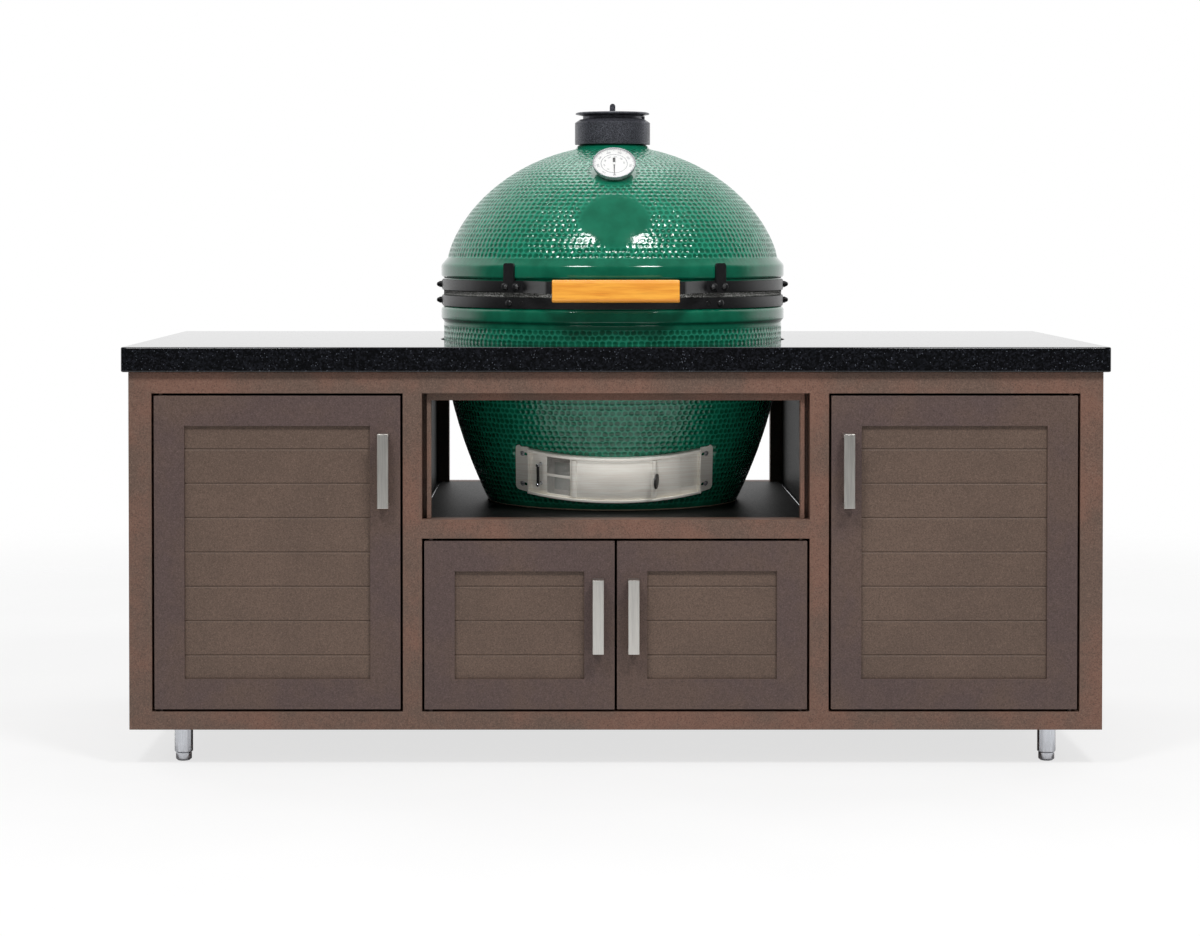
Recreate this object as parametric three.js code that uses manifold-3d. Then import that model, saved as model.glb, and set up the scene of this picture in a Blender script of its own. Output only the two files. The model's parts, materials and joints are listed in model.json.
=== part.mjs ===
// Kamado grill table: an outdoor cabinet with a granite top, four doors and an open niche,
// and a ceramic kamado cooker standing in it. Millimetres, +Z up, +X to the right, +Y to the back.
// The origin is on the floor, under the middle of the whole. The pieces are placed about the
// middle of the cooker and cabinet, and the finished group is then moved back by half of what
// the door pulls stand forward of the countertop.
import * as THREE from 'three';
import { mergeVertices } from 'three/addons/utils/BufferGeometryUtils.js';
import Module from 'manifold-3d';

const wasm = await Module();
wasm.setup();

// Round pieces: how many sides they have
const large_round_sides = 44;
const middle_round_sides = 28;
const small_round_sides = 12;
const corner_steps = 3;
const fastener_sides = 8;
const rod_sides = 5;
const hole_sides = 6;

// Clearances
const straight_angle = 180;
const seat_gap = 0.3;
const running_gap = 0.4;
const overrun = 12;

// Cabinet
const cabinet_width = 1829;
const cabinet_depth = 812;
const cabinet_bottom = 70;
const cabinet_top = 743;
const frame_tube_depth = 38;
const outer_stile_width = 43;
const inner_stile_width = 36;
const top_rail_height = 40;
const bottom_rail_height = 34;
const middle_rail_height = 36;
const niche_width = 728;
const niche_floor = 466;

// Countertop
const counter_overhang_side = 12.5;
const counter_overhang_front = 13;
const counter_thickness = 47;
const counter_corner_radius = 6;
const counter_edge_round = 3;
const counter_hole_radius = 347;

// Niche trim
const trim_inset = 16.5;
const trim_lip_width = 8;
const trim_web_overlap = 6;
const trim_lip_depth = 22;
const trim_web_thickness = 3;
const trim_top_height = 14;

// Sheet metal
const sheet_thickness = 3;
const shelf_sheet = 4;
const shelf_skirt = 34;
const wall_setback = 9;
const wall_fold = 24;
const stiffener_width = 24;
const panel_frame_width = 57;
const panel_recess = 6;
const plank_thickness = 10;
const end_panel_thickness = 32;

// Planks
const groove_pitch = 64.7;
const groove_first = 44;
const groove_width = 4;
const groove_depth = 2.2;

// Doors
const door_gap = 4.5;
const door_thickness = 20;
const door_rabbet = 8;
const plank_door_thickness = 8;
const pivot_inset = 12;
const pivot_pin_radius = 4;
const pivot_pin_length = 14;
const pull_width = 21;
const pull_height = 139;
const pull_projection = 32;
const pull_bar_thickness = 5;
const pull_leg_thickness = 8;
const pull_drop = 70;
const pull_inset = 31;

// Levelling legs
const leg_inset_side = 92.5;
const leg_inset_front = 70;
const sleeve_radius = 17.5;
const sleeve_wall = 2.2;
const leg_pad_size = 60;
const foot_radius = 15.15;
const foot_height = 17;
const foot_bevel = 4;
const foot_flat_radius = 8.25;
const foot_stem_length = 40;

// Cooker base
const ceramic_wall = 30;
const base_foot_radius = 253;
const base_body_radius = 341;
const base_waist_height = 656;
const base_straight_drop = 79.7;
const base_shoulder_drop = 51.7;
const rim_radius = 346;
const base_rim_bottom_drop = 47.1;
const base_rim_top_drop = 27.1;
const base_rim_step_drop = 21.7;
const base_mouth_height = 879.7;
const mouth_radius = 340.7;
const mouth_inner_radius = 308;
const gasket_thickness = 4.8;
const gasket_outer_radius = 341;
const draft_hole_width = 150;
const draft_hole_bottom = 504;
const draft_hole_height = 56;

// Cooker dome
const dome_rim_bottom_rise = 38;
const dome_rim_top_rise = 60.6;
const dome_foot_radius = 333;
const dome_foot_rise = 75.3;
const dome_flank_radius = 318;
const dome_flank_rise = 148.3;
const dome_shoulder_radius = 232;
const dome_shoulder_rise = 260.3;
const chimney_radius = 71;
const chimney_flare_radius = 76;
const chimney_flare_rise = 293.3;
const chimney_rise = 312.3;
const chimney_bore_radius = 55;

// Bands that clamp the ceramic
const band_thickness = 3;
const band_height = 21.2;
const band_recess_height = 3.5;
const band_nut_radius = 6.5;
const band_nut_length = 12;
const band_bolt_angle = 36.2;
const band_hole_angle = 31.5;
const band_hole_radius = 3.5;

// Hinge at the back
const hinge_pin_back = 386;
const hinge_pin_rise = 6.3;
const hinge_pin_radius = 6;
const hinge_half_width = 92;
const hinge_ear_thickness = 8;
const hinge_ear_radius = 14;
const hinge_inner_ear_offset = 74;
const hinge_plate_thickness = 5;
const hinge_bore_radius = 6.4;
const spring_wire_radius = 2.4;
const spring_coil_radius = 12;
const spring_curls = 7;
const spring_pitch = 7;
const spring_centre_offset = 33;
const spring_upper_clearance = 3;
const spring_curl_steps = 8;
const spring_wire_sides = 5;

// Handle
const grip_width = 240;
const grip_height = 42.6;
const grip_depth = 26;
const grip_drop = 6.5;
const grip_front = 404;
const grip_corner = 7;
const arm_height = 23;
const arm_thickness = 5;
const arm_outer_angle = 38;
const arm_bolt_angles = [36.8, 32.6];
const arm_leave_angle = 30;
const arm_hook_angle = 35.6;
const arm_end_thickness = 9;
const arm_end_setback = 3;
const arm_hook_width = 24;
const arm_hook_rise = 5.7;
const hook_corner = 5;
const bolt_head_radius = 7.5;
const bolt_head_height = 5;

// Thermometer
const dial_radius = 42;
const dial_tilt = 44.5;
const dial_centre_front = 211;
const dial_rise = 261.8;
const bezel_depth = 9;
const bezel_wall = 3;
const dial_recess = 4;
const lens_thickness = 1.2;
const probe_boss_radius = 9;
const probe_boss_length = 5.5;
const probe_radius = 4;
const probe_length = 70;
const needle_length = 27;
const needle_tail = 14;
const needle_width = 2.4;
const needle_thickness = 0.8;
const needle_hub_radius = 3;

// Chimney cap
const cap_collar_radius = 76;
const cap_collar_bottom_rise = 303.1;
const cap_collar_top_rise = 346.7;
const cap_chamfer_rise = 353.6;
const cap_chamfer_radius = 66;
const chimney_top_radius = 66;
const cap_wall = 6;
const cap_mouth_radius = 52;
const cap_web_thickness = 6;
const lid_plate_radius = 60;
const lid_plate_thickness = 6.6;
const lid_pivot_radius = 3.2;
const lid_pivot_offset = 58.5;
const lid_lug_radius = 7;
const lid_hub_radius = 6;
const damper_radius = 74.4;
const damper_flat_radius = 71;
const damper_thickness = 7;
const damper_edge = 3;
const cap_port_radius = 12;
const cap_port_ring_radius = 34;
const cap_port_count = 5;
const cap_tab_width = 11;
const cap_tab_length = 26;
const cap_rise = 385.3;

// Draft door at the front of the base
const draft_tilt = 16;
const draft_centre_height = 530;
const draft_stand = 3.4;
const draft_height = 92;
const draft_half_angle = 35;
const draft_flange_angle = 7;
const draft_window_angle = 24;
const draft_lip_depth = 10;
const draft_lip_height = 6;
const draft_sheet = 1.6;
const draft_flat = 7;
const draft_slide_gap = 0.9;
const draft_pocket_spread = 0.8;
const screen_left_angle = -33;
const screen_right_angle = 26;
const mesh_left_angle = -26;
const mesh_right_angle = -17.5;
const mesh_height = 34;
const mesh_divider = 6;
const mesh_rows = 3;
const mesh_columns = 4;
const mesh_wire = 1.2;
const screen_grip_angle = -29;
const screen_grip_height = 40;
const draft_grip_radius = 3;
const draft_stud_length = 14;
const draft_door_left_angle = -16.5;
const draft_door_right_angle = 16;
const draft_bead_radius = 3;
const draft_knob_angle = 13.5;
const draft_knob_radius = 15;
const draft_knob_thickness = 4;
const draft_knob_turn = 60;
const draft_screw_radius = 5;
const draft_screw_height = 3;

// Inside the cooker
const fire_box_foot_radius = 205;
const fire_box_top_radius = 278;
const fire_box_top = 704;
const fire_box_wall = 22;
const fire_box_floor = 566;
const fire_box_hole_radius = 78;
const fire_ring_top = 838;
const fire_ring_radius = 286;
const fire_ring_wall = 24;
const fire_grate_radius = 94;
const fire_grate_thickness = 10;
const grate_hole_radius = 10;
const grate_ring_share = 0.62;
const grate_hole_count = 10;
const grid_radius = 303;
const grid_rod_radius = 4;
const grid_bar_radius = 2.8;
const grid_bar_pitch = 40;
const grid_brace_offset = 140;

// Derived places
const half_width = cabinet_width / 2;
const half_depth = cabinet_depth / 2;
const frame_back = half_depth - frame_tube_depth;
const niche_half = niche_width / 2;
const bay_inner = niche_half + inner_stile_width;
const bay_outer = half_width - outer_stile_width;
const opening_top = cabinet_top - top_rail_height;
const opening_bottom = cabinet_bottom + bottom_rail_height;
const middle_rail_bottom = niche_floor - middle_rail_height;
const wall_inner = niche_half + wall_setback;
const floor_top = opening_bottom - sheet_thickness;
const gasket_join = base_mouth_height + seat_gap + gasket_thickness;
const dome_gasket_bottom = gasket_join + seat_gap;
const dome_mouth_height = dome_gasket_bottom + gasket_thickness + seat_gap;
const base_rim_bottom = base_mouth_height - base_rim_bottom_drop;
const base_rim_top = base_mouth_height - base_rim_top_drop;
const base_rim_step = base_mouth_height - base_rim_step_drop;
const base_shoulder_height = base_mouth_height - base_shoulder_drop;
const base_straight_height = base_mouth_height - base_straight_drop;
const dome_rim_bottom = base_mouth_height + dome_rim_bottom_rise;
const dome_rim_top = base_mouth_height + dome_rim_top_rise;
const dome_foot_height = base_mouth_height + dome_foot_rise;
const dome_flank_height = base_mouth_height + dome_flank_rise;
const dome_shoulder_height = base_mouth_height + dome_shoulder_rise;
const chimney_flare_height = base_mouth_height + chimney_flare_rise;
const chimney_top = base_mouth_height + chimney_rise;
const hinge_pin_height = base_mouth_height + hinge_pin_rise;
const dial_centre_height = base_mouth_height + dial_rise;
const cap_collar_bottom = base_mouth_height + cap_collar_bottom_rise;
const cap_collar_top = base_mouth_height + cap_collar_top_rise;
const cap_chamfer_top = base_mouth_height + cap_chamfer_rise;
const cap_top = base_mouth_height + cap_rise;
const arm_centre_height = dome_mouth_height + band_height / 2;
const grip_bottom = arm_centre_height - grip_drop - grip_height / 2;
const arm_hook_top = dome_rim_top + arm_hook_rise;
const draft_lean = THREE.MathUtils.degToRad(draft_tilt);
const draft_edge_angle = draft_half_angle + draft_flange_angle;
const leg_x = half_width - leg_inset_side;
const leg_y = half_depth - leg_inset_front;

// Materials
function finish(colour, roughness, metalness) {
  return new THREE.MeshStandardMaterial({ color: colour, roughness, metalness });
}
const granite = finish(0x14161a, 0.25, 0);
const bronze_frame = finish(0x7a6058, 0.55, 0.3);
const bronze_door = finish(0x5e4c42, 0.55, 0.3);
const black_sheet = finish(0x101010, 0.4, 0.2);
const stainless = finish(0xc8c5c0, 0.3, 1);
const green_glaze = finish(0x0b5a3c, 0.2, 0);
const black_band = finish(0x2b2b2e, 0.5, 0.4);
const cast_iron = finish(0x2c2c32, 0.7, 0.5);
const grey_felt = finish(0x8d8d8a, 0.95, 0);
const varnished_wood = finish(0xd68a2e, 0.45, 0);
const black_paint = finish(0x0c0c0c, 0.5, 0);
const clear_glass = finish(0xe8f0f2, 0.05, 0);
const fired_clay = finish(0xcbb89a, 0.9, 0);
const bright_steel = finish(0xb5b5b8, 0.35, 1);

const table = new THREE.Group();

function add(name, geometry, material) {
  const mesh = new THREE.Mesh(geometry, material);
  mesh.name = name;
  table.add(mesh);
  return mesh;
}

// Merges shared corners and leaves out the triangles that collapse on the axis of a turned form
function sealed(geometry) {
  const bare = geometry.clone();
  bare.deleteAttribute('normal');
  bare.deleteAttribute('uv');
  const merged = mergeVertices(bare);
  const corners = merged.index.array;
  const whole = [];
  for (let i = 0; i < corners.length; i += 3) {
    const [a, b, c] = [corners[i], corners[i + 1], corners[i + 2]];
    if (a !== b && b !== c && c !== a) {
      whole.push(a, b, c);
    }
  }
  merged.setIndex(whole);
  return merged;
}

// Joining and cutting
function solidOf(geometry) {
  const closed = sealed(geometry);
  const vertProperties = new Float32Array(closed.attributes.position.array);
  const triVerts = new Uint32Array(closed.index.array);
  return new wasm.Manifold(new wasm.Mesh({ numProp: 3, vertProperties, triVerts }));
}

function geometryOf(solid) {
  const mesh = solid.getMesh();
  const geometry = new THREE.BufferGeometry();
  geometry.setAttribute('position', new THREE.BufferAttribute(mesh.vertProperties.slice(), 3));
  geometry.setIndex(new THREE.BufferAttribute(mesh.triVerts.slice(), 1));
  return geometry;
}

function join(...geometries) {
  return geometryOf(geometries.map(solidOf).reduce((whole, part) => whole.add(part)));
}

function cut(geometry, ...tools) {
  return geometryOf(tools.map(solidOf).reduce((whole, tool) => whole.subtract(tool), solidOf(geometry)));
}

// Basic forms
function slab(x0, x1, y0, y1, z0, z1) {
  const box = new THREE.BoxGeometry(x1 - x0, y1 - y0, z1 - z0);
  return box.translate((x0 + x1) / 2, (y0 + y1) / 2, (z0 + z1) / 2);
}

function rectangle(a0, a1, b0, b1) {
  return [[a0, b0], [a1, b0], [a1, b1], [a0, b1]];
}

function shapeOf(points, holes = []) {
  const shape = new THREE.Shape(points.map(([a, b]) => new THREE.Vector2(a, b)));
  for (const hole of holes) {
    shape.holes.push(new THREE.Path(hole.map(([a, b]) => new THREE.Vector2(a, b))));
  }
  return shape;
}

function prism(shape, length) {
  return new THREE.ExtrudeGeometry(shape, { depth: length, bevelEnabled: false, curveSegments: corner_steps });
}

// A shape in X and Z, from y0 to y1
function facing(shape, y0, y1) {
  return prism(shape, y1 - y0).rotateX(Math.PI / 2).translate(0, y1, 0);
}

// A shape in X and Y, from z0 to z1
function lying(shape, z0, z1) {
  return prism(shape, z1 - z0).translate(0, 0, z0);
}

// A shape in Y and Z, from x0 to x1
function alongX(shape, x0, x1) {
  return prism(shape, x1 - x0).rotateY(Math.PI / 2).rotateX(Math.PI / 2).translate(x0, 0, 0);
}

// A closed profile in radius and Z, turned about Z
function turned(points, sides) {
  const profile = points.map(([r, z]) => new THREE.Vector2(r, z));
  return sealed(new THREE.LatheGeometry(profile, sides).rotateX(Math.PI / 2));
}

function ring(inner, outer, z0, z1, sides) {
  return turned([[inner, z0], [outer, z0], [outer, z1], [inner, z1], [inner, z0]], sides);
}

function disc(radius, z0, z1, sides) {
  return turned([[0, z0], [radius, z0], [radius, z1], [0, z1]], sides);
}

// A round bar along X or Y
function barAlongX(radius, x0, x1, y, z, sides) {
  return disc(radius, x0, x1, sides).rotateY(Math.PI / 2).translate(0, y, z);
}

function barAlongY(radius, y0, y1, x, z, sides) {
  return disc(radius, -y1, -y0, sides).rotateX(Math.PI / 2).translate(x, 0, z);
}

function bezier(points, steps) {
  const vectors = points.map(([a, b]) => new THREE.Vector2(a, b));
  const curve = vectors.length === 4
    ? new THREE.CubicBezierCurve(...vectors)
    : new THREE.QuadraticBezierCurve(...vectors);
  return curve.getPoints(steps).map((p) => [p.x, p.y]);
}

function roundedRectangle(width, height, radius) {
  const shape = new THREE.Shape();
  const a = width / 2;
  const b = height / 2;
  shape.moveTo(radius - a, -b);
  shape.lineTo(a - radius, -b);
  shape.absarc(a - radius, radius - b, radius, -Math.PI / 2, 0);
  shape.lineTo(a, b - radius);
  shape.absarc(a - radius, b - radius, radius, 0, Math.PI / 2);
  shape.lineTo(radius - a, b);
  shape.absarc(radius - a, b - radius, radius, Math.PI / 2, Math.PI);
  shape.lineTo(-a, radius - b);
  shape.absarc(radius - a, radius - b, radius, Math.PI, 1.5 * Math.PI);
  return shape;
}

// Countertop
function countertop() {
  const round = counter_edge_round;
  const width = cabinet_width + 2 * counter_overhang_side;
  const depth = cabinet_depth + 2 * counter_overhang_front;
  const shape = roundedRectangle(width - 2 * round, depth - 2 * round, counter_corner_radius);
  const hole = new THREE.Path();
  hole.absarc(0, 0, counter_hole_radius + round, 0, 2 * Math.PI, true);
  const points = hole.getSpacedPoints(large_round_sides).slice(0, -1);
  shape.holes.push(new THREE.Path(points));
  const stone = new THREE.ExtrudeGeometry(shape, {
    depth: counter_thickness - 2 * round,
    bevelThickness: round,
    bevelSize: round,
    bevelSegments: 2,
    curveSegments: 2,
  });
  return stone.translate(0, 0, cabinet_top + seat_gap + round);
}
add('countertop', countertop(), granite);

// Face frames, front and back: one welded frame each, with holes for the door pivots
function doorPivots() {
  const pivots = [];
  for (const side of [-1, 1]) {
    pivots.push([side * (bay_outer - door_gap - pivot_inset), opening_bottom, opening_top]);
    pivots.push([side * (niche_half - door_gap - pivot_inset), opening_bottom, middle_rail_bottom]);
  }
  return pivots;
}
const pivot_y = -half_depth + door_thickness / 2;

function faceFrame(side) {
  const openings = [
    rectangle(-bay_outer, -bay_inner, opening_bottom, opening_top),
    rectangle(bay_inner, bay_outer, opening_bottom, opening_top),
    rectangle(-niche_half, niche_half, opening_bottom, middle_rail_bottom),
    rectangle(-niche_half, niche_half, niche_floor, opening_top),
  ];
  const y0 = side < 0 ? -half_depth : frame_back;
  const y1 = y0 + frame_tube_depth;
  const holes = openings.map((opening) => facing(shapeOf(opening), y0 - overrun, y1 + overrun));
  const frame = cut(slab(-half_width, half_width, y0, y1, cabinet_bottom, cabinet_top), ...holes);
  if (side > 0) {
    return frame;
  }
  const sockets = [];
  const bore = pivot_pin_radius + running_gap;
  for (const [x, low, high] of doorPivots()) {
    for (const z of [low, high]) {
      const socket = disc(bore, z - pivot_pin_length, z + pivot_pin_length, fastener_sides);
      sockets.push(socket.translate(x, pivot_y, 0));
    }
  }
  return cut(frame, ...sockets);
}
add('front_face_frame', faceFrame(-1), bronze_frame);
add('rear_face_frame', faceFrame(1), bronze_frame);

// A row of boards with V grooves between them: width along X, height up Z, front at y = 0
function planks(width, height, thickness, first_groove, edge_trim) {
  const outline = [[0, 0], [thickness, 0], [thickness, height], [0, height]];
  const half_groove = groove_width / 2;
  const grooves = [];
  for (let z = first_groove; z < height - edge_trim - groove_width; z += groove_pitch) {
    grooves.unshift([0, z + half_groove], [groove_depth, z], [0, z - half_groove]);
  }
  return alongX(shapeOf([...outline, ...grooves]), -width / 2, width / 2);
}

// A fixed panel: a flat frame with boards set back inside it, centred on x = 0, front at y = 0
function fixedPanel(width, height, thickness) {
  const inner_width = width - 2 * panel_frame_width;
  const inner_height = height - 2 * panel_frame_width;
  const outline = rectangle(-width / 2, width / 2, 0, height);
  const field = rectangle(-inner_width / 2, inner_width / 2, panel_frame_width, height - panel_frame_width);
  const frame = facing(shapeOf(outline, [field]), 0, thickness);
  const boards = planks(inner_width + overrun, inner_height, plank_thickness, groove_first, 0);
  return join(frame, boards.translate(0, panel_recess, panel_frame_width));
}

// End panels: framed boards facing out, let in between the two face frames
function endPanel(side) {
  const width = 2 * (frame_back - seat_gap);
  const height = cabinet_top - cabinet_bottom;
  const panel = fixedPanel(width, height, end_panel_thickness);
  return panel.rotateZ(side * Math.PI / 2).translate(side * half_width, 0, cabinet_bottom);
}
add('left_end_panel', endPanel(-1), bronze_frame);
add('right_end_panel', endPanel(1), bronze_frame);

// Upright walls between the bays
function bayWall(side) {
  const x0 = side < 0 ? -wall_inner - sheet_thickness : wall_inner;
  const y = frame_back - seat_gap;
  const z0 = floor_top + seat_gap;
  const wall = slab(x0, x0 + sheet_thickness, -y, y, z0, cabinet_top);
  const outer = side * (wall_inner + sheet_thickness / 2);
  const flange_end = side * (wall_inner + wall_fold);
  const [xa, xb] = [Math.min(outer, flange_end), Math.max(outer, flange_end)];
  const flanges = [-1, 1].map((end) => {
    const [ya, yb] = end < 0 ? [-y, -y + sheet_thickness] : [y - sheet_thickness, y];
    return slab(xa, xb, ya, yb, z0, cabinet_top);
  });
  return join(wall, ...flanges);
}
add('left_bay_wall', bayWall(-1), black_sheet);
add('right_bay_wall', bayWall(1), black_sheet);

// A tray with a flat top and its edges folded down, stiffened from below
function foldedTray(half_x, half_y, top, sheet, skirt, stiffener_places) {
  const tray = slab(-half_x, half_x, -half_y, half_y, top - skirt, top);
  const edges = [-half_x, ...stiffener_places, half_x];
  const pockets = [];
  for (let i = 0; i + 1 < edges.length; i += 1) {
    const x0 = edges[i] + (i === 0 ? sheet : stiffener_width / 2);
    const x1 = edges[i + 1] - (i + 2 === edges.length ? sheet : stiffener_width / 2);
    pockets.push(slab(x0, x1, sheet - half_y, half_y - sheet, top - skirt - overrun, top - sheet));
  }
  return cut(tray, ...pockets);
}

// The shelf that carries the cooker
const shelf_half = wall_inner - seat_gap;
const shelf_top = niche_floor - seat_gap;
function grillShelf() {
  const places = [-shelf_half / 3, shelf_half / 3];
  return foldedTray(shelf_half, frame_back - seat_gap, shelf_top, shelf_sheet, shelf_skirt, places);
}
add('grill_shelf', grillShelf(), black_sheet);

// The bottom of the cabinet, with a pad over each leg
function legPlaces() {
  return [[-leg_x, -leg_y], [leg_x, -leg_y], [-leg_x, leg_y], [leg_x, leg_y]];
}

function cabinetFloor() {
  const half_x = half_width - end_panel_thickness - seat_gap;
  const skirt = floor_top - cabinet_bottom;
  const tray = foldedTray(half_x, frame_back - seat_gap, floor_top, sheet_thickness, skirt, [0]);
  const a = leg_pad_size / 2;
  const pad_top = floor_top - sheet_thickness / 2;
  const pads = legPlaces().map(([x, y]) => slab(x - a, x + a, y - a, y + a, cabinet_bottom, pad_top));
  return join(tray, ...pads);
}
add('cabinet_floor', cabinetFloor(), bronze_frame);

// Lining of the niche, front and back: a web behind the stiles and a lip that stands forward
function nicheTrim(side) {
  const inner = niche_half - trim_inset;
  const lip_outer = inner + trim_lip_width;
  const web_outer = niche_half + trim_web_overlap;
  const lip_low = opening_top - trim_top_height;
  const lip_high = opening_top - seat_gap;
  const web_high = opening_top + trim_web_overlap;
  const foot = shelf_top + seat_gap;
  const lip_shape = [
    [-lip_outer, foot], [-inner, foot], [-inner, lip_low], [inner, lip_low],
    [inner, foot], [lip_outer, foot], [lip_outer, lip_high], [-lip_outer, lip_high],
  ];
  const web_shape = [
    [-web_outer, foot], [-inner, foot], [-inner, lip_low], [inner, lip_low],
    [inner, foot], [web_outer, foot], [web_outer, web_high], [-web_outer, web_high],
  ];
  const y0 = -frame_back + seat_gap;
  const web = facing(shapeOf(web_shape), y0, y0 + trim_web_thickness);
  const lip = facing(shapeOf(lip_shape), y0 - trim_lip_depth, y0 + trim_web_thickness / 2);
  const trim = join(web, lip);
  return side < 0 ? trim : trim.rotateZ(Math.PI);
}
add('front_niche_trim', nicheTrim(-1), bronze_frame);
add('rear_niche_trim', nicheTrim(1), bronze_frame);

// Fixed panels that close the back of the three bays
function rearPanel(centre, width, bottom, height) {
  const panel = fixedPanel(width - 2 * seat_gap, height - 2 * seat_gap, door_thickness);
  return panel.rotateZ(Math.PI).translate(centre, half_depth - seat_gap, bottom + seat_gap);
}
const bay_width = bay_outer - bay_inner;
const bay_centre = (bay_outer + bay_inner) / 2;
const bay_height = opening_top - opening_bottom;
const lower_bay_height = middle_rail_bottom - opening_bottom;
add('rear_left_panel', rearPanel(-bay_centre, bay_width, opening_bottom, bay_height), bronze_door);
add('rear_right_panel', rearPanel(bay_centre, bay_width, opening_bottom, bay_height), bronze_door);
add('rear_center_panel', rearPanel(0, niche_width, opening_bottom, lower_bay_height), bronze_door);

// Levelling legs: a sleeve under each corner and a foot that screws down out of it
function legSleeve() {
  const bore = sleeve_radius - sleeve_wall;
  return ring(bore, sleeve_radius, foot_height + seat_gap, cabinet_bottom - seat_gap, small_round_sides);
}

function levellingFoot() {
  const stem = sleeve_radius - sleeve_wall - running_gap;
  const top = foot_height + foot_stem_length;
  return turned([
    [0, 0], [foot_flat_radius, 0], [foot_radius, foot_bevel], [foot_radius, foot_height],
    [stem, foot_height], [stem, top], [0, top],
  ], small_round_sides);
}
const leg_names = ['front_left', 'front_right', 'rear_left', 'rear_right'];
for (const [i, [x, y]] of legPlaces().entries()) {
  add(`${leg_names[i]}_leg_sleeve`, legSleeve(), stainless).position.set(x, y, 0);
  add(`${leg_names[i]}_foot`, levellingFoot(), stainless).position.set(x, y, 0);
}

// Doors: a frame with pivot pins at its hinged edge, a board panel held in its rabbet, and a pull.
// hinge_side is -1 when the left edge carries the pivots.
function doorFrame(width, height, hinge_side) {
  const half = width / 2;
  const inner = half - panel_frame_width;
  const outline = rectangle(-half, half, 0, height);
  const window = rectangle(-inner, inner, panel_frame_width, height - panel_frame_width);
  const low = panel_frame_width - door_rabbet;
  const rebate = rectangle(-inner - door_rabbet, inner + door_rabbet, low, height - low);
  const face = facing(shapeOf(outline, [window]), 0, panel_recess);
  const back = facing(shapeOf(outline, [rebate]), panel_recess, door_thickness);
  const pin_x = hinge_side * (half - pivot_inset);
  const reach = door_gap + pivot_pin_length - running_gap;
  const pin = disc(pivot_pin_radius, -reach, height + reach, fastener_sides);
  const pins = cut(pin, slab(-half, half, -half, half, overrun, height - overrun));
  return join(face, back, pins.translate(pin_x, door_thickness / 2, 0));
}

function doorBoards(width, height) {
  const cover = panel_frame_width - door_rabbet + seat_gap;
  const boards_height = height - 2 * cover;
  const first = groove_first + door_rabbet - seat_gap;
  const boards = planks(width - 2 * cover, boards_height, plank_door_thickness, first, door_rabbet);
  return boards.translate(0, panel_recess + seat_gap, cover);
}

// A flat bar pull with two legs, centred on x = 0, standing forward of y = 0
function pull(bottom) {
  const top = bottom + pull_height;
  const y_front = -pull_projection;
  const y_bar = y_front + pull_bar_thickness;
  const outline = [
    [-seat_gap, bottom], [-seat_gap, bottom + pull_leg_thickness], [y_bar, bottom + pull_leg_thickness],
    [y_bar, top - pull_leg_thickness], [-seat_gap, top - pull_leg_thickness], [-seat_gap, top],
    [y_front, top], [y_front, bottom],
  ];
  return alongX(shapeOf(outline), -pull_width / 2, pull_width / 2);
}

function addDoor(name, centre, width, bottom, height, hinge_side) {
  const door = new THREE.Group();
  door.position.set(centre, -half_depth, bottom);
  table.add(door);
  door.add(add(`${name}_door_frame`, doorFrame(width, height, hinge_side), bronze_door));
  door.add(add(`${name}_door_boards`, doorBoards(width, height), bronze_door));
  const handle = add(`${name}_door_pull`, pull(height - pull_drop - pull_height), stainless);
  handle.position.x = -hinge_side * (width / 2 - pull_inset);
  door.add(handle);
}
const door_bottom = opening_bottom + door_gap;
const tall_door_height = bay_height - 2 * door_gap;
const low_door_height = lower_bay_height - 2 * door_gap;
const tall_door_width = bay_width - 2 * door_gap;
const low_door_width = niche_half - 1.5 * door_gap;
const low_door_centre = (niche_half - door_gap / 2) / 2;
addDoor('left', -bay_centre, tall_door_width, door_bottom, tall_door_height, -1);
addDoor('right', bay_centre, tall_door_width, door_bottom, tall_door_height, 1);
addDoor('lower_left', -low_door_centre, low_door_width, door_bottom, low_door_height, -1);
addDoor('lower_right', low_door_centre, low_door_width, door_bottom, low_door_height, 1);

// Cooker base: thick ceramic, standing on the shelf, with a rim and a mouth
function baseOuter() {
  const belly = bezier([
    [base_foot_radius, niche_floor], [base_body_radius, base_waist_height],
    [base_body_radius, base_straight_height],
  ], 6);
  return [
    ...belly, [base_body_radius, base_shoulder_height], [rim_radius, base_rim_bottom],
    [rim_radius, base_rim_top], [mouth_radius, base_rim_step], [mouth_radius, base_mouth_height],
  ];
}

function baseRadiusAt(height) {
  const profile = baseOuter();
  const above = profile.findIndex(([, z]) => z > height);
  const [low_radius, low] = profile[above - 1];
  const [high_radius, high] = profile[above];
  return low_radius + ((high_radius - low_radius) * (height - low)) / (high - low);
}
const draft_radius = baseRadiusAt(draft_centre_height) + draft_stand;

function baseInner() {
  const floor = niche_floor + ceramic_wall;
  const wall = ceramic_wall;
  return bezier([
    [mouth_inner_radius, base_straight_height], [base_body_radius - wall, base_waist_height],
    [base_foot_radius - wall, floor],
  ], 4);
}

function draftHole(inner_radius, outer_radius) {
  const a = draft_hole_width / 2;
  return slab(-a, a, -outer_radius, -inner_radius, draft_hole_bottom, draft_hole_bottom + draft_hole_height);
}

// The flat place pressed into the base for the draft door's frame
function draftPocket() {
  const half = draft_height / 2 + seat_gap;
  const edge = draft_edge_angle + draft_pocket_spread;
  const outer = draft_radius + 2 * ceramic_wall;
  return atDraft(curvedPlate(draft_radius - seat_gap, outer, -edge, edge, -half, half));
}

function baseShell() {
  const profile = [
    [0, niche_floor], ...baseOuter(), [mouth_inner_radius, base_mouth_height],
    ...baseInner(), [0, niche_floor + ceramic_wall],
  ];
  const shell = turned(profile, large_round_sides);
  return cut(shell, draftHole(fire_box_foot_radius - fire_box_wall, base_body_radius), draftPocket());
}
add('base_shell', baseShell(), green_glaze);

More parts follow.
